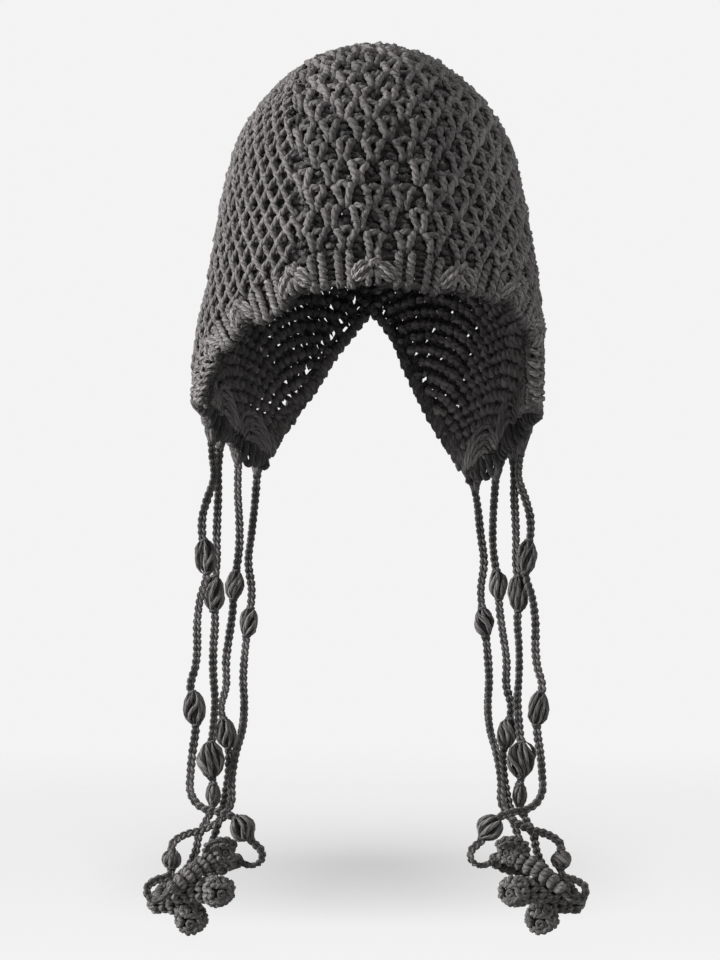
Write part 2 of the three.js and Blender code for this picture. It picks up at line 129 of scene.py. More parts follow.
# Turns yarn into one mesh object of closed tubes. place maps the strands' own points to metres,
# knobs makes them swell and bend unevenly from point to point.
def layYarn(name, yarn, material, place=None, twistPitch=0.0042, knobs=0.0):
    counts = np.array([len(points) for points in yarn["points"]])
    points = np.vstack(yarn["points"])
    shades = np.concatenate(yarn["shades"])
    if place is not None:
        # Painted shade: the strands' shades darken with depth into the knit, standing for the shade in its pits
        shades = shades * paintedPitShade(points[:, 2])
        points = place(points)
    starts = np.concatenate([[0], np.cumsum(counts)])
    ranks = np.arange(len(points)) - np.repeat(starts[:-1], counts)
    swell = unevenness["everyOther"] * (1 - 2 * (ranks % 2))
    swell = 1 + knobs * (swell + unevenness["any"] * random.normal(0, 1, len(points)))
    points = points + random.normal(0, unevenness["bend"] * knobs, points.shape)
    curve = bpy.data.curves.new(name, "CURVE")
    curve.dimensions = "3D"
    curve.bevel_depth = 1.0
    curve.bevel_resolution = tubeSides // 2 - 2
    curve.use_fill_caps = False
    lengths = []
    for k, count in enumerate(counts):
        line = points[starts[k]:starts[k + 1]]
        radii = yarn["radii"][k] * swell[starts[k]:starts[k + 1]]
        for n, share in enumerate(tipShares if yarn["tapers"][k] else tipShares[:1]):
            radii[n] = radii[n] * share + tipRadius
            radii[-1 - n] = radii[-1 - n] * share + tipRadius
        spline = curve.splines.new("POLY")
        spline.points.add(int(count) - 1)
        flat = np.ones((count, 4))
        flat[:, :3] = line
        spline.points.foreach_set("co", flat.ravel())
        spline.points.foreach_set("radius", radii)
        spline.use_smooth = True
        lengths.append(np.linalg.norm(np.diff(line, axis=0), axis=1).sum())
    holder = bpy.data.objects.new(name + "_curve", curve)
    bpy.context.scene.collection.objects.link(holder)
    graph = bpy.context.evaluated_depsgraph_get()
    mesh = bpy.data.meshes.new_from_object(holder.evaluated_get(graph))
    bpy.data.objects.remove(holder)
    bpy.data.curves.remove(curve)
    mesh.name = name

    # Each point keeps its shade, which holds random tone and painted shade and highlights, and each strand its
    # length in turns of twist along U
    perPoint = np.repeat(shades, tubeSides)
    shade = mesh.attributes.new("shade", "FLOAT", "POINT")
    shade.data.foreach_set("value", perPoint.astype(np.float32))
    turns = np.repeat(np.array(lengths) / twistPitch, counts * tubeSides)
    corners = np.zeros(len(mesh.loops), dtype=np.int32)
    mesh.loops.foreach_get("vertex_index", corners)
    layer = mesh.uv_layers[0].data
    spots = np.zeros(len(mesh.loops) * 2, dtype=np.float32)
    layer.foreach_get("uv", spots)
    spots = spots.reshape(-1, 2)
    spots[:, 0] *= turns[corners]
    layer.foreach_set("uv", spots.ravel())

    # Every end ring closes to one point
    shape = bmesh.new()
    shape.from_mesh(mesh)
    shape.verts.ensure_lookup_table()
    target = {}
    for k, count in enumerate(counts):
        for ring in (starts[k], starts[k + 1] - 1):
            first = int(ring) * tubeSides
            for n in range(1, tubeSides):
                target[shape.verts[first + n]] = shape.verts[first]
    bmesh.ops.weld_verts(shape, targetmap=target)
    bmesh.ops.recalc_face_normals(shape, faces=shape.faces)
    for face in shape.faces:
        face.smooth = True
    shape.to_mesh(mesh)
    shape.free()
    mesh.materials.clear()
    mesh.materials.append(material)
    piece = bpy.data.objects.new(name, mesh)
    bpy.context.scene.collection.objects.link(piece)
    print(f"{name}: {2 * len(mesh.polygons)} triangles")
    return piece


# Materials

# The crease value sets how much painted shade darkens the creases between plies
yarnTones = {
    "knit": {"colour": (0.108, 0.101, 0.100), "fuzz": 1.25, "paintedCreaseShade": 0.5},
    "border": {"colour": (0.132, 0.124, 0.122), "fuzz": 1.2, "paintedCreaseShade": 0.66},
    "cord": {"colour": (0.112, 0.106, 0.104), "fuzz": 1.2, "paintedCreaseShade": 0.7},
}

# How a strand is wound: its plies, the noises on it, and by how much and from what least share
# each of them changes its brightness
wound = {"plies": 3.0, "plyRound": 0.6, "fibreStretch": (0.8, 4.0, 37.0), "fibreScale": 2.2,
         "woolScale": 1000.0, "patchScale": 60.0, "fibre": (0.9, 0.55), "speck": 0.5,
         "strand": (1.5, 0.12), "patch": (0.7, 0.65), "rough": (0.2, 0.78), "fibreHeight": 0.5,
         "woolHeight": 0.35}
surface = {"Specular IOR Level": 0.25, "Sheen Weight": 0.18, "Sheen Roughness": 0.55,
           "Sheen Tint": (0.9, 0.87, 0.86, 1)}
bumpDistance = 0.0008
yarnSockets = (("Colour", "NodeSocketColor", "INPUT"), ("Fuzz", "NodeSocketFloat", "INPUT"),
               ("PaintedCreaseShade", "NodeSocketFloat", "INPUT"), ("Colour", "NodeSocketColor", "OUTPUT"),
               ("Roughness", "NodeSocketFloat", "OUTPUT"), ("Height", "NodeSocketFloat", "OUTPUT"))


# A node whose inputs are set to numbers and colours, or linked to other nodes' outputs
def addNode(tree, kind, inputs=(), operation=None):
    node = tree.nodes.new("ShaderNode" + kind)
    if operation:
        node.operation = operation
    for key, value in dict(inputs).items():
        if isinstance(value, bpy.types.NodeSocket):
            tree.links.new(value, node.inputs[key])
        else:
            node.inputs[key].default_value = value
    return node


def addMath(tree, operation, *values):
    return addNode(tree, "Math", enumerate(values), operation).outputs[0]


def addNoise(tree, vector, scale, detail=2.0):
    return addNode(tree, "TexNoise", {"Vector": vector, "Scale": scale, "Detail": detail}).outputs["Fac"]


# Plies wound round a strand and the loose fibres on them, from the strand's own map
def makeYarnGroup():
    tree = bpy.data.node_groups.new("wound yarn", "ShaderNodeTree")
    for name, kind, way in yarnSockets:
        tree.interface.new_socket(name=name, in_out=way, socket_type=kind)
    given = tree.nodes.new("NodeGroupInput").outputs
    along, around, _ = addNode(tree, "SeparateXYZ", {0: addNode(tree, "UVMap").outputs[0]}).outputs
    shade = addNode(tree, "Attribute")
    shade.attribute_name = "shade"
    tone = shade.outputs["Fac"]
    place = addNode(tree, "TexCoord").outputs["Object"]

    # Rounded plies with sharp creases between them
    phase = addMath(tree, "MULTIPLY_ADD", around, wound["plies"], along)
    wave = addMath(tree, "SINE", addMath(tree, "MULTIPLY", phase, math.pi))
    ply = addMath(tree, "POWER", addMath(tree, "ABSOLUTE", wave), wound["plyRound"])

    # Fibres run along the plies
    stretched = [addMath(tree, "MULTIPLY", value, by)
                 for value, by in zip((along, phase, tone), wound["fibreStretch"])]
    spot = addNode(tree, "CombineXYZ", enumerate(stretched))
    fibre = addNoise(tree, spot.outputs[0], wound["fibreScale"], 3.0)
    wool = addNoise(tree, place, wound["woolScale"])
    patch = addNoise(tree, place, wound["patchScale"])

    # Colour: painted shade in the creases between plies, streaked by fibres, each strand a little lighter or
    # darker, and each point lighter or darker by the painted shade and highlights in its shade
    paintedCreaseShade = addMath(tree, "MULTIPLY", addMath(tree, "SUBTRACT", 1.0, ply), given["PaintedCreaseShade"])
    light = addMath(tree, "SUBTRACT", 1.0, paintedCreaseShade)
    for value, by, least in ((fibre, *wound["fibre"]), (wool, given["Fuzz"], wound["speck"]),
                             (tone, *wound["strand"]), (patch, *wound["patch"])):
        light = addMath(tree, "MULTIPLY", light, addMath(tree, "MULTIPLY_ADD", value, by, least))
    tint = addNode(tree, "VectorMath", {0: given["Colour"], "Scale": light}, "SCALE")
    fluff = addMath(tree, "MULTIPLY", wool, wound["woolHeight"])
    height = addMath(tree, "MULTIPLY_ADD", fibre, wound["fibreHeight"], fluff)
    result = tree.nodes.new("NodeGroupOutput").inputs
    tree.links.new(tint.outputs[0], result["Colour"])
    tree.links.new(addMath(tree, "MULTIPLY_ADD", fibre, *wound["rough"]), result["Roughness"])
    tree.links.new(addMath(tree, "ADD", height, ply), result["Height"])
    return tree


yarnGroup = makeYarnGroup()


def makeYarnMaterial(name, tone):
    material = bpy.data.materials.new(name)
    material.use_nodes = True
    tree = material.node_tree
    look = tree.nodes.new("ShaderNodeGroup")
    look.node_tree = yarnGroup
    look.inputs["Colour"].default_value = (*tone["colour"], 1)
    look.inputs["Fuzz"].default_value = tone["fuzz"]
    look.inputs["PaintedCreaseShade"].default_value = tone["paintedCreaseShade"]
    bump = addNode(tree, "Bump", {"Strength": 1.0, "Distance": bumpDistance, "Height": look.outputs["Height"]})
    shader = tree.nodes["Principled BSDF"].inputs
    tree.links.new(look.outputs["Colour"], shader["Base Color"])
    tree.links.new(look.outputs["Roughness"], shader["Roughness"])
    tree.links.new(bump.outputs["Normal"], shader["Normal"])
    for key, value in surface.items():
        shader[key].default_value = value
    return material


knitYarn = makeYarnMaterial("knit yarn", yarnTones["knit"])
borderYarn = makeYarnMaterial("border yarn", yarnTones["border"])
cordYarn = makeYarnMaterial("cord yarn", yarnTones["cord"])
print("yarn materials made")


# Ties: the routes that the CAD cords follow, in metres, each with its puffs and curled end

tieMirror = -0.0021

tieRoutes = {
    "a": {
        "exit": {"left": (-0.0955, 0.0415, -0.0796), "right": (0.0915, 0.0415, -0.0858)},
        "route": [
            (-0.095, 0.042, -0.089), (-0.094, 0.041, -0.102), (-0.098, 0.040, -0.115), (-0.101, 0.040, -0.126),
            (-0.101, 0.039, -0.138), (-0.0985, 0.038, -0.150), (-0.0985, 0.0375, -0.162), (-0.102, 0.037, -0.174),
            (-0.104, 0.037, -0.189), (-0.104, 0.037, -0.206), (-0.105, 0.037, -0.216), (-0.108, 0.037, -0.228),
            (-0.105, 0.037, -0.241), (-0.105, 0.037, -0.255), (-0.107, 0.037, -0.269), (-0.108, 0.036, -0.281),
            (-0.108, 0.034, -0.291), (-0.104, 0.032, -0.298), (-0.097, 0.031, -0.302), (-0.089, 0.030, -0.303),
            (-0.082, 0.030, -0.306), (-0.076, 0.030, -0.312), (-0.071, 0.030, -0.320), (-0.065, 0.030, -0.326),
            (-0.065, 0.031, -0.332), (-0.071, 0.035, -0.336), (-0.078, 0.042, -0.335),
        ],
        "puffs": [
            {"point": 6, "length": 0.022, "width": 0.013},
            {"point": 13, "length": 0.022, "width": 0.014},
            {"point": 22, "length": 0.017, "width": 0.016},
        ],
        "end": [(-0.091, 0.051, -0.339), (-0.100, 0.054, -0.342)],
        "endRadii": [0.0034, 0.0038, 0.0036],
        "facing": (-0.6, 0.2, -0.3),
    },
    "b": {
        "exit": {"left": (-0.091, 0.052, -0.0832), "right": (0.087, 0.0525, -0.0906)},
        "route": [
            (-0.092, 0.051, -0.097), (-0.092, 0.050, -0.112), (-0.093, 0.050, -0.137), (-0.093, 0.050, -0.155),
            (-0.095, 0.050, -0.173), (-0.094, 0.050, -0.189), (-0.095, 0.050, -0.206), (-0.095, 0.050, -0.222),
            (-0.094, 0.050, -0.237), (-0.095, 0.050, -0.254), (-0.097, 0.050, -0.273), (-0.095, 0.051, -0.296),
            (-0.098, 0.054, -0.308), (-0.104, 0.054, -0.320), (-0.106, 0.054, -0.330), (-0.111, 0.054, -0.340),
            (-0.120, 0.051, -0.347), (-0.126, 0.046, -0.350), (-0.125, 0.041, -0.351),
        ],
        "puffs": [
            {"point": 5, "length": 0.023, "width": 0.014},
            {"point": 11, "length": 0.024, "width": 0.018},
            {"point": 12, "length": 0.015, "width": 0.0095},
        ],
        "end": [(-0.118, 0.034, -0.351), (-0.109, 0.030, -0.350), (-0.099, 0.025, -0.349), (-0.088, 0.020, -0.349)],
        "endRadii": [0.0050, 0.0062, 0.0064, 0.0086],
        "facing": (0.35, -0.9, -0.1),
    },
    "c": {
        "exit": {"left": (-0.0808, 0.067, -0.093), "right": (0.0775, 0.067, -0.1026)},
        "route": [
            (-0.081, 0.066, -0.112), (-0.080, 0.065, -0.128), (-0.080, 0.065, -0.145), (-0.083, 0.064, -0.169),
            (-0.084, 0.064, -0.185), (-0.086, 0.064, -0.199), (-0.088, 0.063, -0.214), (-0.088, 0.063, -0.230),
            (-0.091, 0.063, -0.243), (-0.088, 0.063, -0.259), (-0.086, 0.063, -0.275), (-0.088, 0.064, -0.294),
            (-0.093, 0.066, -0.315), (-0.101, 0.066, -0.336), (-0.114, 0.062, -0.352), (-0.126, 0.057, -0.358),
        ],
        "puffs": [
            {"point": 4, "length": 0.019, "width": 0.012},
            {"point": 10, "length": 0.020, "width": 0.013},
        ],
        "end": [(-0.130, 0.052, -0.361), (-0.121, 0.047, -0.360), (-0.111, 0.042, -0.362), (-0.107, 0.038, -0.370)],
        "endRadii": [0.0044, 0.0050, 0.0054, 0.0092],
        "facing": (0.1, -0.9, -0.35),
    },
    "d": {
        "exit": {"left": (-0.0695, 0.0805, -0.0992), "right": (0.0653, 0.0805, -0.1096)},
        "route": [
            (-0.071, 0.081, -0.118), (-0.073, 0.080, -0.137), (-0.075, 0.079, -0.154), (-0.073, 0.079, -0.173),
            (-0.075, 0.078, -0.192), (-0.077, 0.077, -0.209), (-0.078, 0.075, -0.227), (-0.077, 0.069, -0.243),
            (-0.078, 0.060, -0.257), (-0.082, 0.052, -0.272), (-0.084, 0.048, -0.287), (-0.084, 0.046, -0.299),
            (-0.090, 0.043, -0.309), (-0.101, 0.042, -0.315), (-0.112, 0.041, -0.318), (-0.119, 0.038, -0.323),
            (-0.119, 0.034, -0.332), (-0.120, 0.030, -0.341), (-0.127, 0.028, -0.343), (-0.133, 0.026, -0.347),
            (-0.132, 0.024, -0.353), (-0.126, 0.022, -0.354), (-0.120, 0.021, -0.349),
        ],
        "puffs": [
            {"point": 5, "length": 0.019, "width": 0.0125},
            {"point": 17, "length": 0.012, "width": 0.012},
        ],
        "end": [(-0.109, 0.023, -0.340), (-0.101, 0.028, -0.335), (-0.093, 0.032, -0.330), (-0.086, 0.032, -0.327)],
        "endRadii": [0.0031, 0.0036, 0.0044, 0.0062],
        "arc": [(-0.0985, 0.0290, -0.3270), (-0.0965, 0.0250, -0.3215), (-0.0905, 0.0225, -0.3185),
                (-0.0845, 0.0235, -0.3190), (-0.0805, 0.0265, -0.3225)],
        "facing": (0.3, -0.95, 0.05),
    },
}

tieYarn = {
    "cordDiameter": 0.0044,
    "link": 0.0039,
    "step": 0.0005,
    "coreRadius": 0.0010,
    "coreStep": 0.003,
    "twist": 46.0,
    "lean": 0.55,
}

# One arm of a crochet link: share of the link along, millimetres across and towards the front,
# radius in millimetres. Each link has two, and its tip lies over the next link's root.
linkArm = [(-0.18, 0.15, -0.95, 0.60), (0.12, 0.95, -0.60, 1.10), (0.46, 1.55, 0.05, 1.32),
           (0.82, 1.20, 0.70, 1.22), (1.10, 0.50, 1.05, 0.95), (1.38, 0.10, 0.50, 0.55)]


# Smooth line through points, each stretch by its own chord, as the CAD cords run
def chordLine(points, count):
    points = np.asarray(points, dtype=float)
    ends = withEnds(points)
    made = []
    for position in np.linspace(0, len(points) - 1, count):
        k = min(int(position), len(points) - 2)
        before, start, finish, after = ends[k:k + 4]
        gaps = [max(np.linalg.norm(step), 1e-9) ** 0.5 for step in np.diff(ends[k:k + 4], axis=0)]
        slopeStart = ((start - before) / gaps[0] - (finish - before) / (gaps[0] + gaps[1])
                      + (finish - start) / gaps[1]) * gaps[1]
        slopeFinish = ((finish - start) / gaps[1] - (after - start) / (gaps[1] + gaps[2])
                       + (after - finish) / gaps[2]) * gaps[1]
        made.append(hermite(position - k, start, finish, slopeStart, slopeFinish))
    return np.array(made)


# The same line with its points spread evenly, about so far apart
def evenLine(line, spacing):
    reach = reachOf(line)
    count = max(int(round(reach[-1] / spacing)), 4)
    return valuesAt(np.linspace(0, reach[-1], count + 1), reach, line)


# Two directions square to a line at each point, carried along it without turning
def lineFrames(line, first=None):
    tangents = np.gradient(line, axis=0)
    tangents /= np.linalg.norm(tangents, axis=1)[:, None]
    start = np.array((0.0, 1.0, 0.0)) if first is None else np.asarray(first, dtype=float)
    if abs(start @ tangents[0]) > 0.95:
        start = np.array((1.0, 0.0, 0.0))
    sides = []
    side = start
    for tangent in tangents:
        side = side - (side @ tangent) * tangent
        side = side / np.linalg.norm(side)
        sides.append(side)
    sides = np.array(sides)
    return tangents, sides, np.cross(tangents, sides)


def lineLength(line):
    return float(np.linalg.norm(np.diff(line, axis=0), axis=1).sum())


# Points round an axis: so far along it, and so wide of it at an angle from side to other
def roundAxis(centre, axes, along, angle, wide):
    axis, side, other = axes
    return (centre + axis * np.reshape(along, (-1, 1)) + side * np.reshape(np.cos(angle) * wide, (-1, 1))
            + other * np.reshape(np.sin(angle) * wide, (-1, 1)))


# Crochet chain along a line: two arms a link, over a thin core
def chainYarn(line):
    spaced = evenLine(line, tieYarn["step"])
    _, sides, fronts = lineFrames(spaced, (1.0, 0.0, 0.0))
    reach = np.linspace(0, lineLength(spaced), len(spaced))
    lean = tieYarn["lean"] * np.sin(reach * tieYarn["twist"] + random.uniform(0, 6))[:, None]
    across = sides * np.cos(lean) + fronts * np.sin(lean)
    front = fronts * -np.cos(lean) + sides * np.sin(lean)
    yarn = newYarn()
    arm = np.array(linkArm)
    count = int(reach[-1] / tieYarn["link"])
    link = reach[-1] / count
    apart = np.arange(len(arm)) * 0.00001
    for k in range(count):
        size = (0.92 + 0.16 * random.random()) / 1000
        shade = 0.3 + 0.4 * random.random()
        for side in (-1, 1):
            where = np.clip((k + arm[:, 0]) * link, 0, reach[-1]) + apart
            spot = valuesAt(where, reach, spaced)
            spot += valuesAt(where, reach, across) * (side * arm[:, 1:2] * size)
            spot += valuesAt(where, reach, front) * (arm[:, 2:3] * size)
            addStrand(yarn, spot, arm[:, 3] / 1000, shade + 0.1 * side, taper=False)
    addStrand(yarn, evenLine(line, tieYarn["coreStep"]), tieYarn["coreRadius"], 0.1)
    return yarn


# A puff: long loose strands from knot to knot round the cord, over thicker ones inside that are painted black as
# the shade between them, and a ring at each knot
puffYarn = {"strands": 8, "inner": 5, "points": 9, "lean": 0.75, "radius": 0.00145, "neck": 0.0013,
            "innerThick": 1.4, "innerWide": 0.7, "ringAt": 0.9, "ringWide": 0.0019, "ringRise": 0.0005,
            "ringRadius": 0.0011}


def addPuff(yarn, middle, direction, length, width):
    axis = direction / np.linalg.norm(direction)
    _, sides, others = lineFrames(np.array([middle - axis * length / 2, middle + axis * length / 2]))
    axes = (axis, sides[0], others[0])
    way = 1 if random.random() > 0.4 else -1
    share = np.linspace(-1, 1, puffYarn["points"])
    for outer, count in ((False, puffYarn["inner"]), (True, puffYarn["strands"])):
        for n in range(count):
            turn = 2 * math.pi * (n + 0.35 * random.random()) / count
            radius = puffYarn["radius"] * (0.8 + 0.4 * random.random())
            peak = 0.4 * (random.random() - 0.5)
            bulge = np.clip(1 - (share - peak * (1 - share ** 2)) ** 2, 0, 1) ** 0.8
            radius *= 1 if outer else puffYarn["innerThick"]
            top = (width / 2 - radius) * (0.88 + 0.24 * random.random())
            top *= 1 if outer else puffYarn["innerWide"]
            reach = puffYarn["neck"] + (top - puffYarn["neck"]) * bulge
            lean = puffYarn["lean"] * (0.35 + 1.3 * random.random())
            angle = turn + way * lean * (share + 0.25 * np.sin(3 * share + 6 * random.random()))
            # The inner strands are painted black, as painted shade in the gaps between the outer ones
            shade = (0.35 + 0.6 * random.random()) if outer else 0.0
            addStrand(yarn, roundAxis(middle, axes, share * length / 2, angle, reach),
                      radius * (0.6 + 0.4 * bulge), shade)
    turns = np.linspace(0, 2.2 * math.pi, 11)
    rise = puffYarn["ringRise"] * (turns / math.pi - 1)
    for end in (-1, 1):
        centre = middle + axis * end * length / 2 * puffYarn["ringAt"]
        addStrand(yarn, roundAxis(centre, axes, rise, turns, puffYarn["ringWide"]),
                  puffYarn["ringRadius"], 0.35)


# A curled end: short crochet stitches in brick rows round the stuffed roll, and a rosette of
# stitches in rings, a ring and a small spiral over its far end. Sizes in metres.
curlYarn = {"across": 0.0066, "row": 0.0053, "core": 0.6, "mouth": 0.45, "narrow": 0.73, "back": 0.25,
            "stuffed": 0.93, "flat": 0.8, "ringFrom": 0.92, "ringTo": 2.1, "ringAt": 0.62,
            "ringThick": 0.19, "spiralThick": 0.135}

# One arm of a stitch: shares across and along, height over the roll and radius in millimetres
curlArm = smoothRows([(0.03, -0.30, -2.6, 0.9), (0.13, -0.02, 0.2, 1.5), (0.28, 0.38, 0.8, 1.65),
                      (0.45, 0.80, -2.4, 1.0)], 2)
# Painted shade: each arm is darker where it dips towards the roll between stitches and lightest at its top
curlPaintedShade = np.interp(curlArm[:, 2], (-1.0, 0.6), (0.0, 0.72))


# A ring of stitches, two arms each, every other ring half a stitch on. pointsAt gives the points
# of an arm by its angle round the ring and its height in metres.
def addStitchRing(yarn, rank, count, pointsAt):
    for n in range(count):
        shade = curlPaintedShade * (0.6 + 0.8 * random.random())
        high = (curlArm[:, 2] + random.random() - 1.2) / 1000
        for side in (-1, 1):
            angle = 2 * math.pi * (n + (rank % 2) * 0.5 + side * curlArm[:, 0]) / count
            addStrand(yarn, pointsAt(angle, high), curlArm[:, 3] / 1000, shade, taper=False)


def addCurledEnd(yarn, spine, radii, facing):
    line = evenLine(chordLine(spine, 80), 0.0004)
    total = lineLength(line)
    reach = np.linspace(0, total, len(line))
    share = reach / total
    size = np.interp(share, np.linspace(0, 1, len(radii)), radii)
    nearStart = np.clip(curlYarn["mouth"] - 2 * share, 0, None) / curlYarn["mouth"]
    size = size * np.sqrt(1 - curlYarn["narrow"] * nearStart ** 2)
    _, sides, others = lineFrames(line)
    ball = radii[-1]
    stop = total - ball * 0.5
    rows = max(int(stop / curlYarn["row"]), 2)
    for row in range(rows):
        level = stop * (row + 0.5) / rows
        where = np.clip(level + (curlArm[:, 1] - 0.2) * stop / rows, 0, total)
        middle, side, other = (valuesAt(where, reach, values) for values in (line, sides, others))
        radius = np.interp(where, reach, size)

        def onRoll(angle, high):
            return roundAxis(middle, (0, side, other), 0, angle, radius + high)

        count = max(int(2 * math.pi * np.interp(level, reach, size) / curlYarn["across"]), 5)
        addStitchRing(yarn, row, count, onRoll)
    stuffing = evenLine(line[: int(len(line) * curlYarn["stuffed"])], 0.003)
    stuffed = np.interp(np.linspace(0, curlYarn["stuffed"], len(stuffing)), share, size)
    # The stuffing is painted black, as painted shade in the gaps between the stitches
    addStrand(yarn, stuffing, np.maximum(stuffed * curlYarn["core"] - 0.0007, 0.0008), 0.0)

    # The rosette: stitches in rings over a dome that faces its own way, round a small spiral
    facing = np.array(facing) / np.linalg.norm(facing)
    last = line[-1] - line[-8]
    centre = line[-1] - last / np.linalg.norm(last) * ball * curlYarn["back"]
    first = np.cross(facing, (0.0, 0.0, 1.0))
    first /= np.linalg.norm(first)
    axes = (facing, first, np.cross(facing, first))
    top = ball * curlYarn["flat"]
    ringStep = curlYarn["row"] / ball
    for ring, polar in enumerate(np.arange(curlYarn["ringFrom"], curlYarn["ringTo"], ringStep)):
        tilt = polar + (curlArm[:, 1] - 0.2) * ringStep

        def onDome(angle, high):
            along = np.cos(tilt) * (ball + high) * curlYarn["flat"]
            return roundAxis(centre, axes, along, angle, np.sin(tilt) * (ball + high))

        count = max(int(2 * math.pi * math.sin(polar) * ball / curlYarn["across"]), 4)
        addStitchRing(yarn, ring, count, onDome)
    turns = np.linspace(0.4, 1.8 * math.pi, 23)
    wide = math.sin(curlYarn["ringAt"]) * ball * (1 + 0.09 * np.sin(5 * turns))
    along = top * math.cos(curlYarn["ringAt"]) + 0.0002 * np.sin(6 * turns)
    addStrand(yarn, roundAxis(centre, axes, along, turns, wide), ball * curlYarn["ringThick"], 0.6)
    turns = np.linspace(0, 3.2 * math.pi, 17)
    share = turns / turns[-1]
    spiral = roundAxis(centre, axes, top - 0.0006 - 0.0008 * share, turns, ball * (0.05 + 0.33 * share))
    addStrand(yarn, spiral, ball * curlYarn["spiralThick"], 0.55)
    # The dome's core is painted black as well, as painted shade under the rosette's stitches
    dome = np.linspace(-0.8, 0.75, 9)
    addStrand(yarn, centre + facing * (dome * top)[:, None],
              np.sqrt(1 - dome ** 2) * ball * curlYarn["core"], 0.0)


def sidePoint(sideName, point):
    return (point[0] if sideName == "left" else 2 * tieMirror - point[0], point[1], point[2])


def buildTie(sideName, tieName):
    tie = tieRoutes[tieName]
    name = f"{sideName}_tie_{tieName}"
    points = [tie["exit"][sideName]] + [sidePoint(sideName, point) for point in tie["route"]]
    line = chordLine(points, 12 * len(points))
    piece = layYarn(name + "_chain", chainYarn(line), cordYarn)
    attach(piece, "root")
    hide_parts(name)
    extras = []
    fine = chordLine(points, 4001)
    for n, puff in enumerate(tie["puffs"], 1):
        middleSpot = int(round(puff["point"] / (len(points) - 1) * 4000))
        pace = lineLength(fine[middleSpot - 4:middleSpot + 5]) / 8
        half = int(round(puff["length"] / 2 / pace))
        upper, lower = fine[middleSpot - half], fine[middleSpot + half]
        middle = (upper + lower) / 4 + np.array(points[puff["point"]]) / 2
        yarn = newYarn()
        addPuff(yarn, middle, lower - upper, puff["length"], puff["width"])
        made = layYarn(f"{name}_wound_puff_{n}", yarn, cordYarn, twistPitch=0.009, knobs=0.06)
        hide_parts(f"{name}_puff_{n}")
        extras.append(made)
    away = line[-1] - line[-2]
    away /= np.linalg.norm(away)
    spine = [line[-1] + away * 0.00035, line[-1] + away * tieYarn["cordDiameter"]]
    spine += [np.array(sidePoint(sideName, point)) for point in tie["end"]]
    yarn = newYarn()
    facing = tie["facing"]
    facing = (facing[0] if sideName == "left" else -facing[0], facing[1], facing[2])
    addCurledEnd(yarn, spine, tie["endRadii"], facing)
    if "arc" in tie:
        arc = [sidePoint(sideName, point) for point in tie["arc"]]
        for key, values in chainYarn(chordLine(arc, 60)).items():
            yarn[key] += values
    made = layYarn(f"{name}_wound_end", yarn, cordYarn, knobs=0.06)
    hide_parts(f"{name}_curled_end")
    extras.append(made)
    for extra in extras:
        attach(extra, "root")
    return [piece] + extras


tiePieces = []
for sideName in ("left", "right"):
    for tieName in tieRoutes:
        tiePieces += buildTie(sideName, tieName)
print("ties laid")


# The hat's surface, by the same sizes and tables as the CAD sheet, in millimetres

hat = {
    "crownHeight": 156.0,
    "hatWidth": 207.0,
    "frontDepth": 112.0,
    "backDepth": 115.0,
    "flapDrop": 110.0,
    "crownLean": 1.8,
    "wall": 7.0,
    "borderHeight": 20.0,
    "seamTopWay": 0.12,
    "faceCrowding": 0.5,
}
dent = {"depth": 5.0, "angle": 6.0, "spread": 8.0, "height": 46.0, "reach": 30.0}
sheetColumns = 18
sheetRows = 20
unitsPerHalf = 14
stitchRows = 19

# Way down the dome, then height, width, front, back and lean there
domeRows = np.array([
    (-0.1, 0.942, -0.319, -0.34, -0.37, 1),
    (0, 1, 0, 0, 0, 1),
    (0.1, 0.942, 0.319, 0.34, 0.37, 1),
    (0.17, 0.862, 0.493, 0.53, 0.58, 1),
    (0.24, 0.756, 0.64, 0.7, 0.76, 1),
    (0.31, 0.631, 0.762, 0.83, 0.89, 1),
    (0.39, 0.471, 0.838, 0.93, 0.965, 1),
    (0.5, 0.237, 0.908, 0.99, 1, 1),
    (0.58, 0.077, 0.943, 1, 1, 0.8),
    (0.66, -0.127, 0.99, 0.995, 0.99, 0.2),
    (0.75, -0.39, 1, 0.98, 0.97, -0.8),
    (1, -1.136, 0.975, 0.93, 0.92, -1),
])
domeWays = domeRows[:, 0]
domeColumns = {"height": 1, "width": 2, "front": 3, "back": 4, "lean": 5}

# Degrees round from the middle of the face, and share of the flap drop below the brim
edgeRows = {
    "left": {
        "face": [(0, 0.01), (24, 0.03), (35, 0.135), (46, 0.19), (52, 0.265), (58, 0.36),
                 (63, 0.44), (68, 0.55)],
        "hem": [(68, 0.55), (90, 0.51), (112, 0.58), (121, 0.66), (131, 0.73), (140, 0.81)],
        "back": [(147, 0.68), (153, 0.565), (161, 0.41), (166, 0.265), (171, 0.155),
                 (176, 0.05), (180, -0.03)],
    },
    "right": {
        "face": [(0, 0.01), (24, 0.02), (38, 0.01), (46, 0.05), (55, 0.095), (61, 0.16),
                 (64, 0.3), (67, 0.56)],
        "hem": [(67, 0.56), (90, 0.565), (115, 0.66), (122, 0.745), (130, 0.81), (139, 0.9)],
        "back": [(145, 0.81), (151, 0.7), (157, 0.555), (165, 0.33), (171, 0.14),
                 (176, 0.04), (180, -0.03)],
    },
}


def domeValue(column, ways):
    values = domeRows[:, domeColumns[column]]
    k = np.clip(np.searchsorted(domeWays, ways, side="left") - 1, 1, len(domeRows) - 2)
    above = np.minimum(k + 2, len(domeRows) - 1)
    span = domeWays[k + 1] - domeWays[k]
    slopeHere = (values[k + 1] - values[k - 1]) / (domeWays[k + 1] - domeWays[k - 1])
    slopeNext = (values[above] - values[k]) / (domeWays[above] - domeWays[k])
    return hermite((ways - domeWays[k]) / span, values[k], values[k + 1], span * slopeHere, span * slopeNext)


def heightAt(ways):
    share = domeValue("height", ways)
    return share * np.where(share > 0, hat["crownHeight"], hat["flapDrop"])


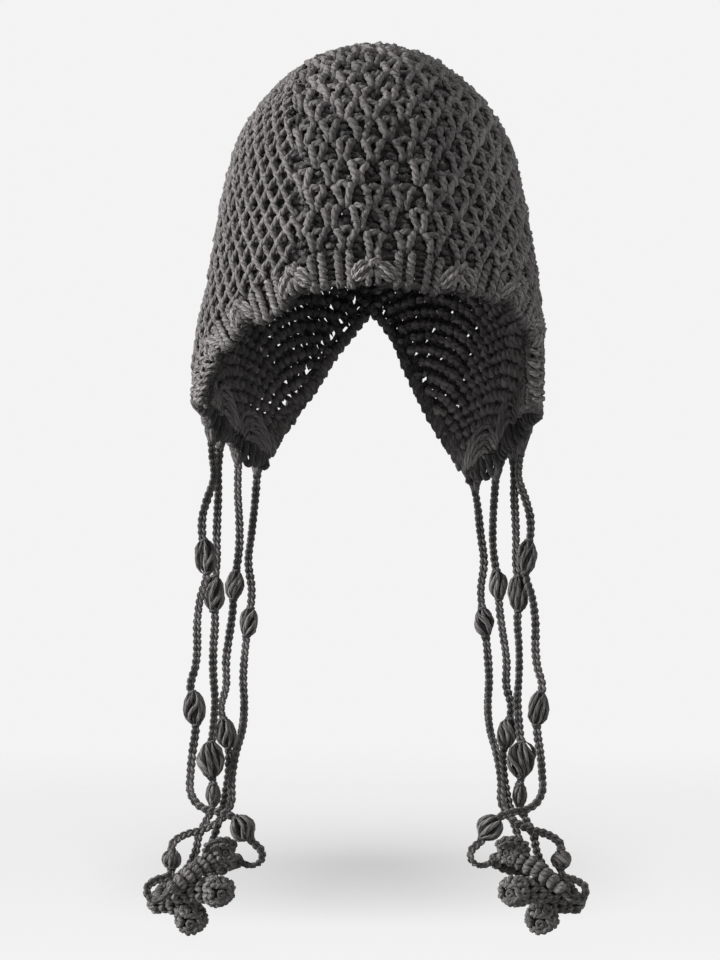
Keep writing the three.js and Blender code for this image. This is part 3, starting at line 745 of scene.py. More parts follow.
# Points of the outside for places on the flat disc: distance is the way down, direction the way round
def outside(places):
    ways = np.maximum(np.linalg.norm(places, axis=-1), 1e-6)
    sine = places[..., 0] / ways
    cosine = -places[..., 1] / ways
    depth = np.where(cosine > 0, hat["frontDepth"] * domeValue("front", ways),
                     hat["backDepth"] * domeValue("back", ways))
    height = heightAt(ways)
    degrees = np.degrees(np.arctan2(sine, cosine))
    across = (degrees - dent["angle"]) / dent["spread"]
    along = (height - dent["height"]) / dent["reach"]
    pressed = dent["depth"] * np.exp(-across * across - along * along)
    x = hat["hatWidth"] / 2 * domeValue("width", ways) * sine + hat["crownLean"] * domeValue("lean", ways)
    return np.stack([x, -depth * cosine + pressed, height], axis=-1)


def outwards(places):
    step = 0.004
    sideways = outside(places + (step, 0)) - outside(places - (step, 0))
    backwards = outside(places + (0, step)) - outside(places - (0, step))
    facing = np.cross(sideways, backwards)
    return facing / np.linalg.norm(facing, axis=-1)[..., None]


def edgePlace(row, side):
    degrees, drop = row
    low, high = 0.0, 1.0
    for _ in range(40):
        middle = (low + high) / 2
        if heightAt(np.array([middle]))[0] > -drop * hat["flapDrop"]:
            low = middle
        else:
            high = middle
    radians = math.radians(degrees)
    return np.array([side * low * math.sin(radians), -low * math.cos(radians)])


# Places spread by their distance on the hat along a smooth line through the given ones
def spreadPlaces(places, count, crowding=0.0):
    fine = chordLine(places, 241)
    reach = reachOf(outside(fine))
    share = np.linspace(0, 1, count + 1)
    return valuesAt(reach[-1] * (1 + crowding - crowding * share) * share, reach, fine)


# How far places move on the disc for their points to follow a pull along the surface
def placeStep(places, points, pull):
    step = 0.002
    sideways = (outside(places + (step, 0)) - points) / step
    backwards = (outside(places + (0, step)) - points) / step
    a = (sideways * sideways).sum(-1)
    b = (sideways * backwards).sum(-1)
    c = (backwards * backwards).sum(-1)
    d = (sideways * pull).sum(-1)
    e = (backwards * pull).sum(-1)
    scale = 1 / (a * c - b * b)
    return np.stack([(c * d - b * e) * scale, (a * e - b * d) * scale], axis=-1)


def relaxedSheet(side, rows):
    centre = [edgePlace(rows["face"][0], side), np.array([0, 0]), np.array([0, hat["seamTopWay"]])]
    seam = [np.array([0, hat["seamTopWay"]]), edgePlace(rows["back"][-1], side)]
    face = spreadPlaces([edgePlace(row, side) for row in rows["face"]], sheetColumns, hat["faceCrowding"])
    lower = spreadPlaces([edgePlace(row, side) for row in rows["hem"] + rows["back"]], sheetRows)
    middle = spreadPlaces(centre, sheetRows)
    back = spreadPlaces(seam, sheetColumns)
    s = np.linspace(0, 1, sheetColumns + 1)[:, None, None]
    t = np.linspace(0, 1, sheetRows + 1)[None, :, None]
    grid = (face[:, None] * (1 - t) + back[:, None] * t + middle[None] * (1 - s) + lower[None] * s
            - face[0] * (1 - s) * (1 - t) - back[0] * (1 - s) * t
            - lower[0] * s * (1 - t) - back[-1] * s * t)
    for _ in range(160):
        points = outside(grid)
        inner = points[1:-1, 1:-1]
        pull = (points[:-2, 1:-1] + points[2:, 1:-1] + points[1:-1, :-2] + points[1:-1, 2:]) / 4 - inner
        grid[1:-1, 1:-1] += placeStep(grid[1:-1, 1:-1], inner, pull)
    return grid


sheets = {-1: relaxedSheet(-1, edgeRows["left"]), 1: relaxedSheet(1, edgeRows["right"])}


# Weights of the four grid lines about a position, for a smooth surface through the grid
def gridWeights(position, last):
    k = np.clip(position.astype(int), 0, last - 1)
    part = position - k
    square = part * part
    cube = square * part
    weights = np.stack([-0.5 * part + square - 0.5 * cube, 1 - 2.5 * square + 1.5 * cube,
                        0.5 * part + 2 * square - 1.5 * cube, -0.5 * square + 0.5 * cube], axis=-1)
    return k, weights


def gridPlace(grid, s, t):
    padded = np.pad(grid, ((1, 1), (1, 1), (0, 0)), mode="edge")
    padded[0] = 2 * padded[1] - padded[2]
    padded[-1] = 2 * padded[-2] - padded[-3]
    padded[:, 0] = 2 * padded[:, 1] - padded[:, 2]
    padded[:, -1] = 2 * padded[:, -2] - padded[:, -3]
    i, across = gridWeights(np.clip(s, 0, 1) * sheetColumns, sheetColumns)
    j, along = gridWeights(np.clip(t, 0, 1) * sheetRows, sheetRows)
    made = np.zeros((len(s), 2))
    for m in range(4):
        for n in range(4):
            made += padded[i + m, j + n] * (across[:, m] * along[:, n])[:, None]
    return made


# Share of the rows that the border covers at a column
def borderShare(grid, s):
    zero = np.zeros_like(s)
    edge = outside(gridPlace(grid, s, zero))
    inner = outside(gridPlace(grid, s, zero + 2 / sheetRows))
    return hat["borderHeight"] / np.linalg.norm(inner - edge, axis=1) * 2 / sheetRows


# Distance along each row of the sheet from the middle of the head, and its inverse
def rowTables(grid):
    s = np.linspace(0, 1, 181)
    t = np.linspace(0, 1, 91)
    allS, allT = np.meshgrid(s, t)
    points = outside(gridPlace(grid, allS.ravel(), allT.ravel()).reshape(len(t), len(s), 2))
    reach = np.cumsum(np.linalg.norm(np.diff(points, axis=1), axis=2), axis=1)
    reach = np.pad(reach, ((0, 0), (1, 0)))
    span = np.linspace(0, reach.max(), 301)
    shares = np.array([np.interp(span, row, s) for row in reach])
    return {"t": t, "length": reach[:, -1], "span": span, "shares": shares}


tables = {side: rowTables(grid) for side, grid in sheets.items()}


# Share of the columns at so many millimetres from the middle of the head, on rows t
def columnShare(side, distance, t):
    made = tables[side]
    across = np.clip(distance / made["span"][-1], 0, 1) * (len(made["span"]) - 1)
    down = np.clip(t, 0, 1) * (len(made["t"]) - 1)
    i = np.minimum(down.astype(int), len(made["t"]) - 2)
    j = np.minimum(across.astype(int), len(made["span"]) - 2)
    p, q = down - i, across - j
    shares = made["shares"]
    return ((shares[i, j] * (1 - q) + shares[i, j + 1] * q) * (1 - p)
            + (shares[i + 1, j] * (1 - q) + shares[i + 1, j + 1] * q) * p)


def sheetPoints(side, s, t, out):
    places = gridPlace(sheets[side], s, t)
    return (outside(places) + outwards(places) * out[:, None]) / 1000


# The stitches stand on the CAD surface only at their tips, and sag a little at the top of the head
knitSink = {"share": 0.8, "by": 1.5, "top": 0.0038, "from": 0.09, "over": 0.065}


# Metres for rows whose first number is under 0 on the left. pointsOf gives a side's points.
def bothSides(rows, pointsOf):
    made = np.zeros((len(rows), 3))
    for side in sheets:
        chosen = (rows[:, 0] < 0) == (side < 0)
        if chosen.any():
            made[chosen] = pointsOf(side, np.abs(rows[chosen, 0]), rows[chosen, 1], rows[chosen, 2])
    return made


def crownSide(side, distance, up, out):
    s = np.zeros(len(up))
    for _ in range(3):
        start = borderShare(sheets[side], s)
        t = start + (1 - start) * up / stitchRows
        s = columnShare(side, distance, t)
    return sheetPoints(side, s, t, knitSink["share"] * out - knitSink["by"])


# For rows of millimetres from the middle of the head, stitch row, millimetres out of the face
def crownPoints(rows):
    made = bothSides(rows, crownSide)
    high = np.clip((made[:, 2] - knitSink["from"]) / knitSink["over"], 0, 1)
    made[:, 2] -= knitSink["top"] * high ** 2
    return made


def borderSide(side, unit, up, out):
    s = np.clip(unit / unitsPerHalf, 0, 1)
    return sheetPoints(side, s, borderShare(sheets[side], s) * up / hat["borderHeight"], out)


# For rows of border unit, millimetres up from the face edge, millimetres out of the face
def borderPoints(rows):
    return bothSides(rows, borderSide)


def rowLength(side, row):
    t = 0.08 + 0.92 * np.clip(row / stitchRows, 0, 1)
    return float(np.interp(t, tables[side]["t"], tables[side]["length"]))


print("hat surface ready")


# Stitches: two fat legs that part at the top towards the feet of the row above, and an arch
# over their fork, in brick rows. Towards the net on the left the legs take its slanting shape.
# Millimetres across, row up, millimetres out, radius.
stitchPitch = 17.0
stitch = {
    "leg": [(-1.7, -0.12, -5.2, 1.2), (-1.7, 0.04, -2.6, 1.85), (-1.9, 0.24, -0.9, 2.1),
            (-2.5, 0.48, -0.5, 2.0), (-3.7, 0.72, -0.4, 2.1), (-4.7, 0.92, -0.6, 2.25),
            (-4.1, 1.10, -3.8, 1.5)],
    "net": [(-0.9, -0.18, -3.6, 1.1), (-1.1, 0.0, -1.3, 1.5), (-2.2, 0.22, -0.5, 1.5),
            (-4.0, 0.46, -0.3, 1.45), (-5.9, 0.72, -0.4, 1.45), (-7.6, 0.97, -0.9, 1.45),
            (-8.3, 1.12, -2.8, 1.1)],
    "arch": [(-3.3, 0.62, -4.6, 1.1), (-3.1, 0.86, -1.7, 1.6), (-1.5, 1.0, -0.2, 1.85),
             (1.5, 1.0, -0.2, 1.85), (3.1, 0.86, -1.7, 1.6), (3.3, 0.62, -4.6, 1.1)],
    "purl": [(-4.6, 0.34, -8.2, 1.2), (-2.3, 0.46, -6.7, 1.8), (0, 0.48, -6.0, 1.95),
             (2.3, 0.44, -6.7, 1.8), (4.6, 0.36, -8.2, 1.2)],
    "purlStep": 0.34,
    "wander": (0.5, 0.5 / 13, 0.4),
    "uneven": (0.28, 0.022, 0.28, 0.1),
    "archUneven": (0.28, 0.025, 0.3, 0.1),
    "knobUneven": (0.3, 0.03, 0.3, 0.12),
    "knob": [(-2.8, 0.10, -5.0, 1.1), (-1.5, 0.22, -3.2, 1.6), (0, 0.25, -2.6, 1.75),
             (1.5, 0.20, -3.2, 1.6), (2.8, 0.08, -5.0, 1.1)],
    "netFrom": 32.0,
    "netTo": 66.0,
}

# Left of this line an open net of crossing strands takes the stitches' place. Its meshes are
# counted round the head, widest at the side, and measured up it and over a dome. Each strand is
# brought to the sheet from samples of it, a step of rows and of shares of the row apart.
net = {"from": -50.0, "overlap": 3.0, "around": 52, "wider": 0.17, "tall": 15.3, "domeFrom": 50.0,
       "domeRadius": 106.0, "radius": 1.5, "step": 0.14, "level": -0.5, "swing": 0.45, "near": 0.35,
       "rowStep": 0.24, "firstShare": 0.12, "lastShare": 1.01, "samples": 100, "up": (-6.5, 13.5),
       "starts": (-14, 41), "endsIn": 2.6}


def addStitchPart(yarn, rows, across, row, shade, shift):
    made = smoothRows(rows, 2)
    made[:, :3] += np.array((across, row, 0.0)) + shift
    addStrand(yarn, made[:, :3], made[:, 3] / 1000, shade)


# Chance changes of so many rows of numbers, each column by its own spread
def unevenRows(count, spreads):
    return random.normal(0, 1, (count, len(spreads))) * spreads


def addUnit(yarn, across, row):
    shift = random.normal(0, 1, 3) * stitch["wander"]
    shade = 0.3 + 0.4 * random.random()
    share = (abs(across) - stitch["netFrom"]) / (stitch["netTo"] - stitch["netFrom"])
    share = min(max(share, 0), 1)
    share = share * share * (3 - 2 * share) * 0.7
    # Painted light: stitches towards the sides of the head are painted lighter, as light falling on the flanks
    shade += 0.3 * share
    leg = np.array(stitch["leg"]) * (1 - share) + np.array(stitch["net"]) * share
    upper = np.clip(leg[:, 1], 0, 1)
    opened = 1 + random.uniform(-0.26, 0.16) * (1 - share) * upper
    tilt = random.normal(0, 0.8) * (1 - 0.6 * share)
    for side in (1, -1):
        bent = leg * (side, 1, 1, 1) + unevenRows(len(leg), stitch["uneven"])
        bent[:, 0] = bent[:, 0] * opened + tilt * upper
        addStitchPart(yarn, bent, across, row, shade + 0.3 * random.random(), shift)
    arch = np.array(stitch["arch"])
    arch[:, 0] = arch[:, 0] * (opened[-2] + 0.5 * share) + tilt
    arch[:, 1:3] -= (0.12 * share, 2.6 * share)
    arch += unevenRows(len(arch), stitch["archUneven"])
    addStitchPart(yarn, arch, across, row, shade, shift)


# How many meshes round from the front and up a point lies
def meshesAt(points):
    turn = np.arctan2(-points[:, 0], -points[:, 1])
    turn = (turn + net["wider"] * np.sin(2 * turn)) / (2 * math.pi) * net["around"]
    height = points[:, 2] * 1000 - net["domeFrom"]
    over = net["domeRadius"] * np.arcsin(np.clip(height / net["domeRadius"], 0, 1))
    return np.column_stack([turn, (np.where(height > 0, over, height)) / net["tall"]])


# The stretches of a run of points where inside holds, longer than so many points
def insideParts(inside, least):
    parts = np.split(np.arange(len(inside)), np.flatnonzero(np.diff(inside.astype(int))) + 1)
    return [part for part in parts if inside[part[0]] and len(part) > least]


# The net's strands as runs of across and row: two families of slanting lines, each line brought
# from meshes to the nearest sample of the sheet and then by its slope
def netRuns():
    levels = np.arange(-0.2, stitchRows + 0.01, net["rowStep"])
    shares = np.linspace(net["firstShare"], net["lastShare"], net["samples"])
    lengths = np.array([rowLength(-1, min(max(level, 0), stitchRows)) for level in levels])
    rows = np.repeat(levels, len(shares))
    across = -(lengths[:, None] * shares).ravel()
    spots = meshesAt(crownPoints(np.column_stack([across, rows, np.zeros(len(rows))])))
    grid = spots.reshape(len(levels), len(shares), 2)
    slopes = np.stack([np.gradient(grid, axis=0), np.gradient(grid, axis=1)], axis=-1).reshape(-1, 2, 2)
    runs = []
    up = np.arange(*net["up"], net["step"])
    for lean in (-1, 1):
        for start in range(*net["starts"]):
            wanted = np.column_stack([start + lean * up, up])
            wanted = wanted[(wanted[:, 0] > 1) & (wanted[:, 0] < net["around"] / 2)]
            if len(wanted) < 4:
                continue
            gaps = np.abs(wanted[:, None] - spots).sum(axis=2)
            near = gaps.argmin(axis=1)
            moved = np.linalg.solve(slopes[near], (wanted - spots[near])[:, :, None])[:, :, 0]
            moved = np.clip(moved, -1, 1)
            level = levels[near // len(shares)] + moved[:, 0] * net["rowStep"]
            share = shares[near % len(shares)] + moved[:, 1] * (shares[1] - shares[0])
            across = -share * np.interp(level, levels, lengths)
            inside = (gaps.min(axis=1) < net["near"]) & (across < net["from"] + net["overlap"])
            inside &= (share < 1.004) & (level < stitchRows + 0.05)
            out = net["level"] + net["swing"] * lean * np.cos(2 * math.pi * wanted[:, 1])
            run = np.column_stack([across, level, out, wanted[:, 1]])
            runs += [run[part] for part in insideParts(inside, 4)]
    return runs


leftNet = netRuns()


def addNet(yarn, rows):
    for run in leftNet:
        inside = (run[:, 1] >= rows[0] - 0.25) & (run[:, 1] <= rows[-1] + 1.2)
        for part in insideParts(inside, 3):
            spots = run[part, :3] + unevenRows(len(part), (0.2, 0.015, 0.12))
            spots[(0, -1), 2] -= net["endsIn"]
            radii = net["radius"] * random.uniform(0.88, 1.14, len(part)) / 1000
            # Painted light: the net's strands are painted lighter, as light falling on the left flank
            shades = 0.7 + 0.2 * random.random() + 0.2 * np.cos(4 * math.pi * run[part, 3])
            addStrand(yarn, spots, radii, shades)


# Two bars in each pit, lower under the net and painted darker there, as shade in its open meshes
def addPit(yarn, across, row):
    bare = across < net["from"]
    for n in range(2):
        tilt = random.normal(0, 0.09)
        bump = np.array(stitch["purl"])
        bump[:, 1] += tilt * bump[:, 0] / 2
        bump[:, 2] += random.normal(0, 0.5) - (0.9 if bare else 0)
        bump[:, 0] *= random.uniform(0.75, 1.05)
        shift = (random.normal(0, 0.8), (n - 0.4) * stitch["purlStep"], 0.0)
        shade = (0.5 + 1.5 * random.random()) * (0.5 if bare else 1)
        addStitchPart(yarn, bump, across, row, shade, shift)


# Small knobs of yarn in each pit, none under the net, painted darker than the stitches as shade in the pit
def addKnobs(yarn, across, row):
    if across < net["from"]:
        return
    for n in range(2):
        knob = np.array(stitch["knob"]) + unevenRows(5, stitch["knobUneven"])
        knob[:, 0] *= random.uniform(0.6, 1.0)
        knob[:, 1] += random.normal(0, 0.12) * knob[:, 0] / 3
        shift = (random.normal(0, 1.3), 0.02 + 0.48 * n + random.normal(0, 0.06), random.normal(0, 0.4))
        addStitchPart(yarn, knob, across, row, 0.15 + 0.45 * random.random(), shift)


# The reverse: strands along each row that rise and fall behind the stitches, painted darker where they sink towards
# the face and lighter on the right side, as painted shade and light inside the hat
reverse = {"levels": (-0.04, 0.46), "height": 0.13, "out": -6.9, "swell": 1.4, "radius": 2.4,
           "spacing": 2.1}


def addReverse(yarn, row, side):
    length = rowLength(side, row + 0.5) - 1.0
    offset = 0.5 if row % 2 else 0.0
    for n, level in enumerate(reverse["levels"]):
        across = np.arange(0.01, length, reverse["spacing"])
        phase = 2 * math.pi * (across / stitchPitch * 2 - offset * 2) + n * math.pi
        up = row + level + reverse["height"] * np.sin(phase) * (1 if n % 2 else 0.7)
        out = reverse["out"] + reverse["swell"] * np.cos(phase) + random.normal(0, 0.2, len(across))
        rows = np.column_stack([side * across, np.clip(up, -0.3, stitchRows), out])
        rows[:, 1] += random.normal(0, 0.035, len(across))
        radii = reverse["radius"] * (1 - 0.25 * np.cos(phase)) / 1000
        # Painted shade in the reverse's hollows, and painted light on the right side's inside
        shades = (0.45 + 0.5 * random.random() - 0.5 * np.cos(phase)) * (2.3 if side > 0 else 1)
        addStrand(yarn, rows, radii, shades)


def crownYarn(side, rows):
    yarn = newYarn()
    for row in rows:
        offset = 0.5 if row % 2 else 0.0
        length = rowLength(side, row + 0.5)
        for n in range(int(length / stitchPitch) + 2):
            across = (n + offset) * stitchPitch
            netted = side * across < net["from"] + net["overlap"]
            if across < length + 0.12 * stitchPitch and (side > 0 or across > 0) and not netted:
                addUnit(yarn, side * across, row)
            across = (n + 0.5 - offset) * stitchPitch
            if across < length + 0.1 * stitchPitch and (side > 0 or across > 0):
                addPit(yarn, side * across, row)
                addKnobs(yarn, side * across, row)
        addReverse(yarn, row, side)
    if side < 0:
        addNet(yarn, rows)
    return yarn


halfway = 9
for side, sideName in ((-1, "left"), (1, "right")):
    for part, rows in (("front", range(halfway)), ("back", range(halfway, stitchRows))):
        piece = layYarn(f"{sideName}_{part}_knit", crownYarn(side, rows), knitYarn, place=crownPoints,
                        knobs=0.18)
        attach(piece, "root")
        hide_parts("knitted_crown_and_flaps")
print("crown and flaps knitted")


# Border round the face: rope-like rib pairs, ladder rungs between them, and a bow of two leaves
# at every third unit. Unit across, millimetres up from the edge, millimetres out.

border = {
    "motifEvery": 3,
    "ribOffset": 0.2,
    "ropeSwing": 1.15,
    "ropePitch": 7.4,
    "ropeRadius": 1.55,
    "rungs": 6,
    "rungRadius": 1.3,
    "rungOut": -4.6,
    "rise": 3.5,
    "leafStrands": 5,
    "leafRadius": 1.2,
    "linksFrom": 9.7,
    "linkStep": 0.36,
    "linkRadius": 1.3,
    "ribFrom": 1.4,
    "ribTo": 20.4,
    "rungStep": 3.2,
    "leafSpread": 3.5,
    "bandRadius": 1.6,
    "bowRadius": 1.9,
}
# A leaf's middle line and a link, in millimetres: across or in units, up, out
leafMiddle = [(1.2, 14.4, -1.8), (3.9, 12.6, 0.8), (7.2, 9.6, 1.6), (10.2, 6.2, 0.8), (12.2, 3.6, -2.6)]
linkLoop = [(-0.06, -3.4, -4.4), (0.10, -4.0, -1.6), (0.30, -2.9, 0.3), (0.44, 0.0, 0.9), (0.34, 2.6, 0.4),
            (0.12, 3.9, -1.2), (-0.06, 3.4, -4.4)]


def addRib(yarn, unit):
    bottom, top = border["ribFrom"], border["ribTo"]
    up = np.linspace(top, bottom, int(top - bottom))
    for strand in range(2):
        turn = 2 * math.pi * (up / border["ropePitch"]) + strand * math.pi + unit
        across = unit + border["ropeSwing"] / stitchPitch * np.cos(turn)
        out = -1.5 + 0.85 * np.sin(turn) + random.normal(0, 0.15, len(up))
        rows = np.column_stack([across, up, out])
        end = across[-1]
        curl = np.array([(end, bottom - 1.3, -2.6), (end, bottom - 1.4, -4.4), (end, bottom + 0.6, -6.2),
                         (end, bottom + 3.2, -6.8)])
        addStrand(yarn, np.vstack([rows, curl]), border["ropeRadius"] / 1000, 0.4 + 0.55 * random.random())


def addRungs(yarn, unit, width):
    for n in range(border["rungs"]):
        up = 1.8 + n * border["rungStep"]
        rows = [(unit - width, up - 0.8, -4.8), (unit - width / 2, up, border["rungOut"]),
                (unit, up + 0.4, border["rungOut"] + 0.3), (unit + width / 2, up, border["rungOut"]),
                (unit + width, up - 0.8, -4.8)]
        # The rungs are painted dark, as the shade behind the ribs
        addStrand(yarn, smoothRows(rows, 2), border["rungRadius"] / 1000, 0.2 + 0.3 * random.random())


# A leaf: strands that part and meet again along a bent middle line, every other one painted light as a highlight
# and the ones between dark as shade
def addLeaf(yarn, unit, side):
    middle = smoothRows(leafMiddle, 3)
    share = np.linspace(0, 1, len(middle))
    fullness = np.sin(math.pi * np.clip(share, 0, 1) ** 0.8) ** 0.75
    for n in range(border["leafStrands"]):
        spread = 2 * n / (border["leafStrands"] - 1) - 1
        shift = spread * border["leafSpread"] * fullness
        across = unit + side * (middle[:, 0] + 0.66 * shift) / stitchPitch
        up = middle[:, 1] + 0.75 * shift
        out = middle[:, 2] + (0.7 - 1.6 * spread * spread - 0.7 * (n % 2)) * fullness
        rows = np.column_stack([across, up, out])
        addStrand(yarn, rows, border["leafRadius"] * (0.75 + 0.25 * fullness) / 1000,
                  (1.05 if n % 2 == 0 else 0.25) + 0.1 * random.random())


def addBow(yarn, unit):
    rise = border["rise"]
    for side in (-1, 1):
        addLeaf(yarn, unit, side)
        rows = [(unit + side * 0.05, 12.6, -2.2), (unit + side * 0.11, 9.6, -0.2),
                (unit + side * 0.17, 6.6, 0.4), (unit + side * 0.17, rise + 1.2, -0.8),
                (unit + side * 0.14, rise - 0.3, -3.4)]
        addStrand(yarn, smoothRows(rows, 3), 0.0019, 0.45 + 0.4 * random.random())
        rows = [(unit + side * 0.05, 13.6, -2.6), (unit + side * 0.16, 16.6, -0.9),
                (unit + side * 0.13, 20.5, -2.4)]
        addStrand(yarn, smoothRows(rows, 4), 0.0019, 0.6)
    rows = [(unit - 0.12, 11.6, -1.4), (unit - 0.10, 14.4, 1.0), (unit + 0.04, 16.2, 1.2),
            (unit + 0.13, 14.0, 0.8), (unit + 0.10, 11.8, -1.2)]
    addStrand(yarn, smoothRows(rows, 3), 0.0019, 0.75)


# Down the flap's front edge: two columns of loops that lie over one another like links, every other loop lower and
# painted darker as its shade
def addLinks(yarn, side):
    units = np.arange(border["linksFrom"], unitsPerHalf - 0.1, border["linkStep"])
    for middle, turned in ((5.2, 1), (14.4, -1)):
        for n, unit in enumerate(units):
            high = random.normal(0, 0.5)
            low = n % 2
            rows = np.array(linkLoop) + (unit, middle, 0)
            rows[3, 1] -= turned
            rows += (random.normal(0, 0.02), high, random.normal(0.6 - 1.8 * low, 0.3))
            rows[:, 0] = side * np.minimum(rows[:, 0], unitsPerHalf)
            # Painted shade: the lower loops are darker, the higher ones lighter
            addStrand(yarn, smoothRows(rows, 2), border["linkRadius"] / 1000,
                      0.75 - 0.55 * low + 0.35 * random.random())


def borderYarnOf(side):
    yarn = newYarn()
    for n in range(unitsPerHalf + 1):
        unit = side * n
        if side < 0 and n == 0:
            continue
        if n % border["motifEvery"] == 0 and n < border["linksFrom"]:
            addBow(yarn, unit)
        elif n < border["linksFrom"]:
            for shift in (-border["ribOffset"], border["ribOffset"]):
                if abs(unit + shift) < unitsPerHalf:
                    addRib(yarn, unit + shift)
        if n < border["linksFrom"] - 1:
            addRungs(yarn, side * (n + 0.5), 0.3)
            if n % border["motifEvery"]:
                addRungs(yarn, unit, 0.16)
    addLinks(yarn, side)
    # Strands along the edge and behind the ribs
    units = np.linspace(0.001, unitsPerHalf - 0.02, 9 * unitsPerHalf)
    distance = np.abs(units / 3 - np.round(units / 3)) * 3
    rise = border["rise"] * np.clip(1 - distance / 0.8, 0, 1)
    turns = units * 4 * math.pi
    for up, out in ((1.6, -3.0), (1.8, -5.6), (5.4, -6.1), (8.8, -6.1), (12.2, -6.1), (15.6, -6.1),
                    (19, -5.8)):
        level = up + rise * (1 - up / hat["borderHeight"]) + 0.5 * np.sin(turns + up)
        rows = np.column_stack([side * units, level, out + 0.5 * np.sin(turns + 1 + up)])
        addStrand(yarn, rows, border["bandRadius"] / 1000, 0.35)
    return yarn


for side, sideName in ((-1, "left"), (1, "right")):
    piece = layYarn(f"{sideName}_face_border", borderYarnOf(side), borderYarn, place=borderPoints,
                    knobs=0.12)
    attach(piece, "root")
    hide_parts("face_border_band")
print("border knitted")


# Hems: long loops fanned into lobes over each flap's lower edge, with strands swept over inside

hem = {"loopEvery": 5.2, "radius": 2.0, "depth": 13.6, "lobes": 4, "gather": 0.5, "lift": 9.0,
       "fan": 0.62, "thick": 4.6, "wave": 1.6, "sweeps": 4, "sweepRadius": 0.0017, "holdRadius": 0.0016,
       "shortAt": (0, 0.12, 0.36, 0.52), "shortBy": (0.2, 0.4, 0.45, 1)}
# Half a loop from its outer top to its tip: shares of lift and depth, of thickness and of fan
loopHalf = ((0.30, 0.95, 0.15), (0.78, 0.62, -0.05))
# Painted shade along a loop, from its outside to its inside: dark inside the flap
loopPaintedShade = np.interp(np.linspace(0, 1, 17), (0, 0.35, 0.6, 1), (0.65, 0.6, 0.16, 0.03))
# A loop that holds a tie: millimetres aside and up from where the tie leaves
holdLoop = ((4.5, 9.5), (3.4, 5.0), (1.7, 1.5), (-0.3, -1.6), (-1.5, 1.0), (-3.0, 6.0))


def hemYarn(sideName):
    side = -1 if sideName == "left" else 1
    yarn = newYarn()
    places = spreadPlaces([edgePlace(row, side) for row in edgeRows[sideName]["hem"]], 80)
    points, outs = outside(places), outwards(places)
    share = np.linspace(0, 1, len(points))
    length = lineLength(points)
    down = np.array((0.0, 0.0, -1.0))

    count = int(length / hem["loopEvery"])
    for n in range(count + 1):
        where = n / count
        lobe = min(hem["lobes"] * where, hem["lobes"] - 0.01)
        offCentre = (lobe % 1 - 0.5) / hem["lobes"] * length
        fullness = 1 - hem["gather"] * (0.5 + 0.5 * math.cos(2 * math.pi * lobe))
        point, out = valuesAt(where, share, points), valuesAt(where, share, outs)
        onward = valuesAt(min(where + 0.02, 1), share, points) - valuesAt(max(where - 0.02, 0), share, points)
        onward /= np.linalg.norm(onward)
        depth = hem["depth"] * fullness * (0.86 + 0.24 * random.random())
        thick = hem["thick"] * fullness * (0.8 + 0.35 * random.random())
        wavy = hem["wave"] * math.sin(2 * math.pi * lobe)
        corner = np.interp(where, hem["shortAt"], hem["shortBy"])
        depth *= corner
        thick *= corner
        middle = point + out * (wavy - hat["wall"] / 2)
        lift = hem["lift"] * (0.85 + 0.3 * random.random()) * corner
        fan = -onward * offCentre * hem["fan"]
        half = [(-lift, 1.2, 1.0), (-lift * 0.45, thick * 0.8, 0.6)]
        half += [(depth * low, thick * wide, fanned) for low, wide, fanned in loopHalf]
        loop = half + [(depth * 0.96, 0.0, 0.0)] + [(low, -wide, fanned) for low, wide, fanned in half[::-1]]
        rows = [middle + down * low + out * wide + fan * fanned for low, wide, fanned in loop]
        radius = hem["radius"] * (0.6 + 0.4 * corner) / 1000
        addStrand(yarn, smoothRows(rows, 2) / 1000, radius, loopPaintedShade * (0.5 + random.random()))
    # Arcs swept over each lobe inside the flap, painted light as highlights over the painted shade of the loops
    for lobe in range(1, hem["lobes"]):
        for n in range(hem["sweeps"]):
            reach = (0.20 + 0.075 * n) / hem["lobes"]
            rows = []
            for turn in np.linspace(-1.05, 1.05, 9):
                where = (lobe + 0.5) / hem["lobes"] + reach * 1.15 * math.sin(turn * 1.5)
                where = min(max(where, 0), 1)
                high = (4.5 + 5.0 * n) * math.cos(turn * 1.5)
                out = -6.6 + 0.1 * n - hat["wall"] / 2
                spot = valuesAt(where, share, points) + valuesAt(where, share, outs) * out
                rows.append(spot - down * (high - 2.5))
            addStrand(yarn, smoothRows(rows, 2) / 1000, hem["sweepRadius"], 0.5 + 0.7 * random.random())
    # Short loops that hold each tie
    for tie in tieRoutes.values():
        place = np.array(tie["exit"][sideName]) * 1000
        for n in range(3):
            turn = 2 * math.pi * (n + 0.3) / 3
            swing = np.array((math.cos(turn), math.sin(turn), 0.0))
            rows = [place + swing * aside - down * high for aside, high in holdLoop]
            addStrand(yarn, smoothRows(rows, 2) / 1000, hem["holdRadius"], 0.3 + 0.4 * random.random())
    return yarn


for sideName in ("left", "right"):
    piece = layYarn(f"{sideName}_gathered_loops", hemYarn(sideName), knitYarn, twistPitch=0.007,
                    knobs=0.07)
    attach(piece, "root")
    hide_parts(f"{sideName}_gathered_hem")
print("hems gathered")


# Edging up each flap's back edge, and the seam behind: short loops over the edge of the sheet

# Millimetres apart, thick and in from the edge; rowLength turns millimetres into shares of a row
edging = {"every": 6.4, "radius": 2.1, "inset": 9.0, "from": 0.49, "rowLength": 285.0, "samples": 160,
          "lineInset": 1.6, "lineSamples": 90, "lineRadius": 0.0016}
seam = {"stitches": 44, "radius": 0.0016, "lineRadius": 0.0018, "samples": 120}


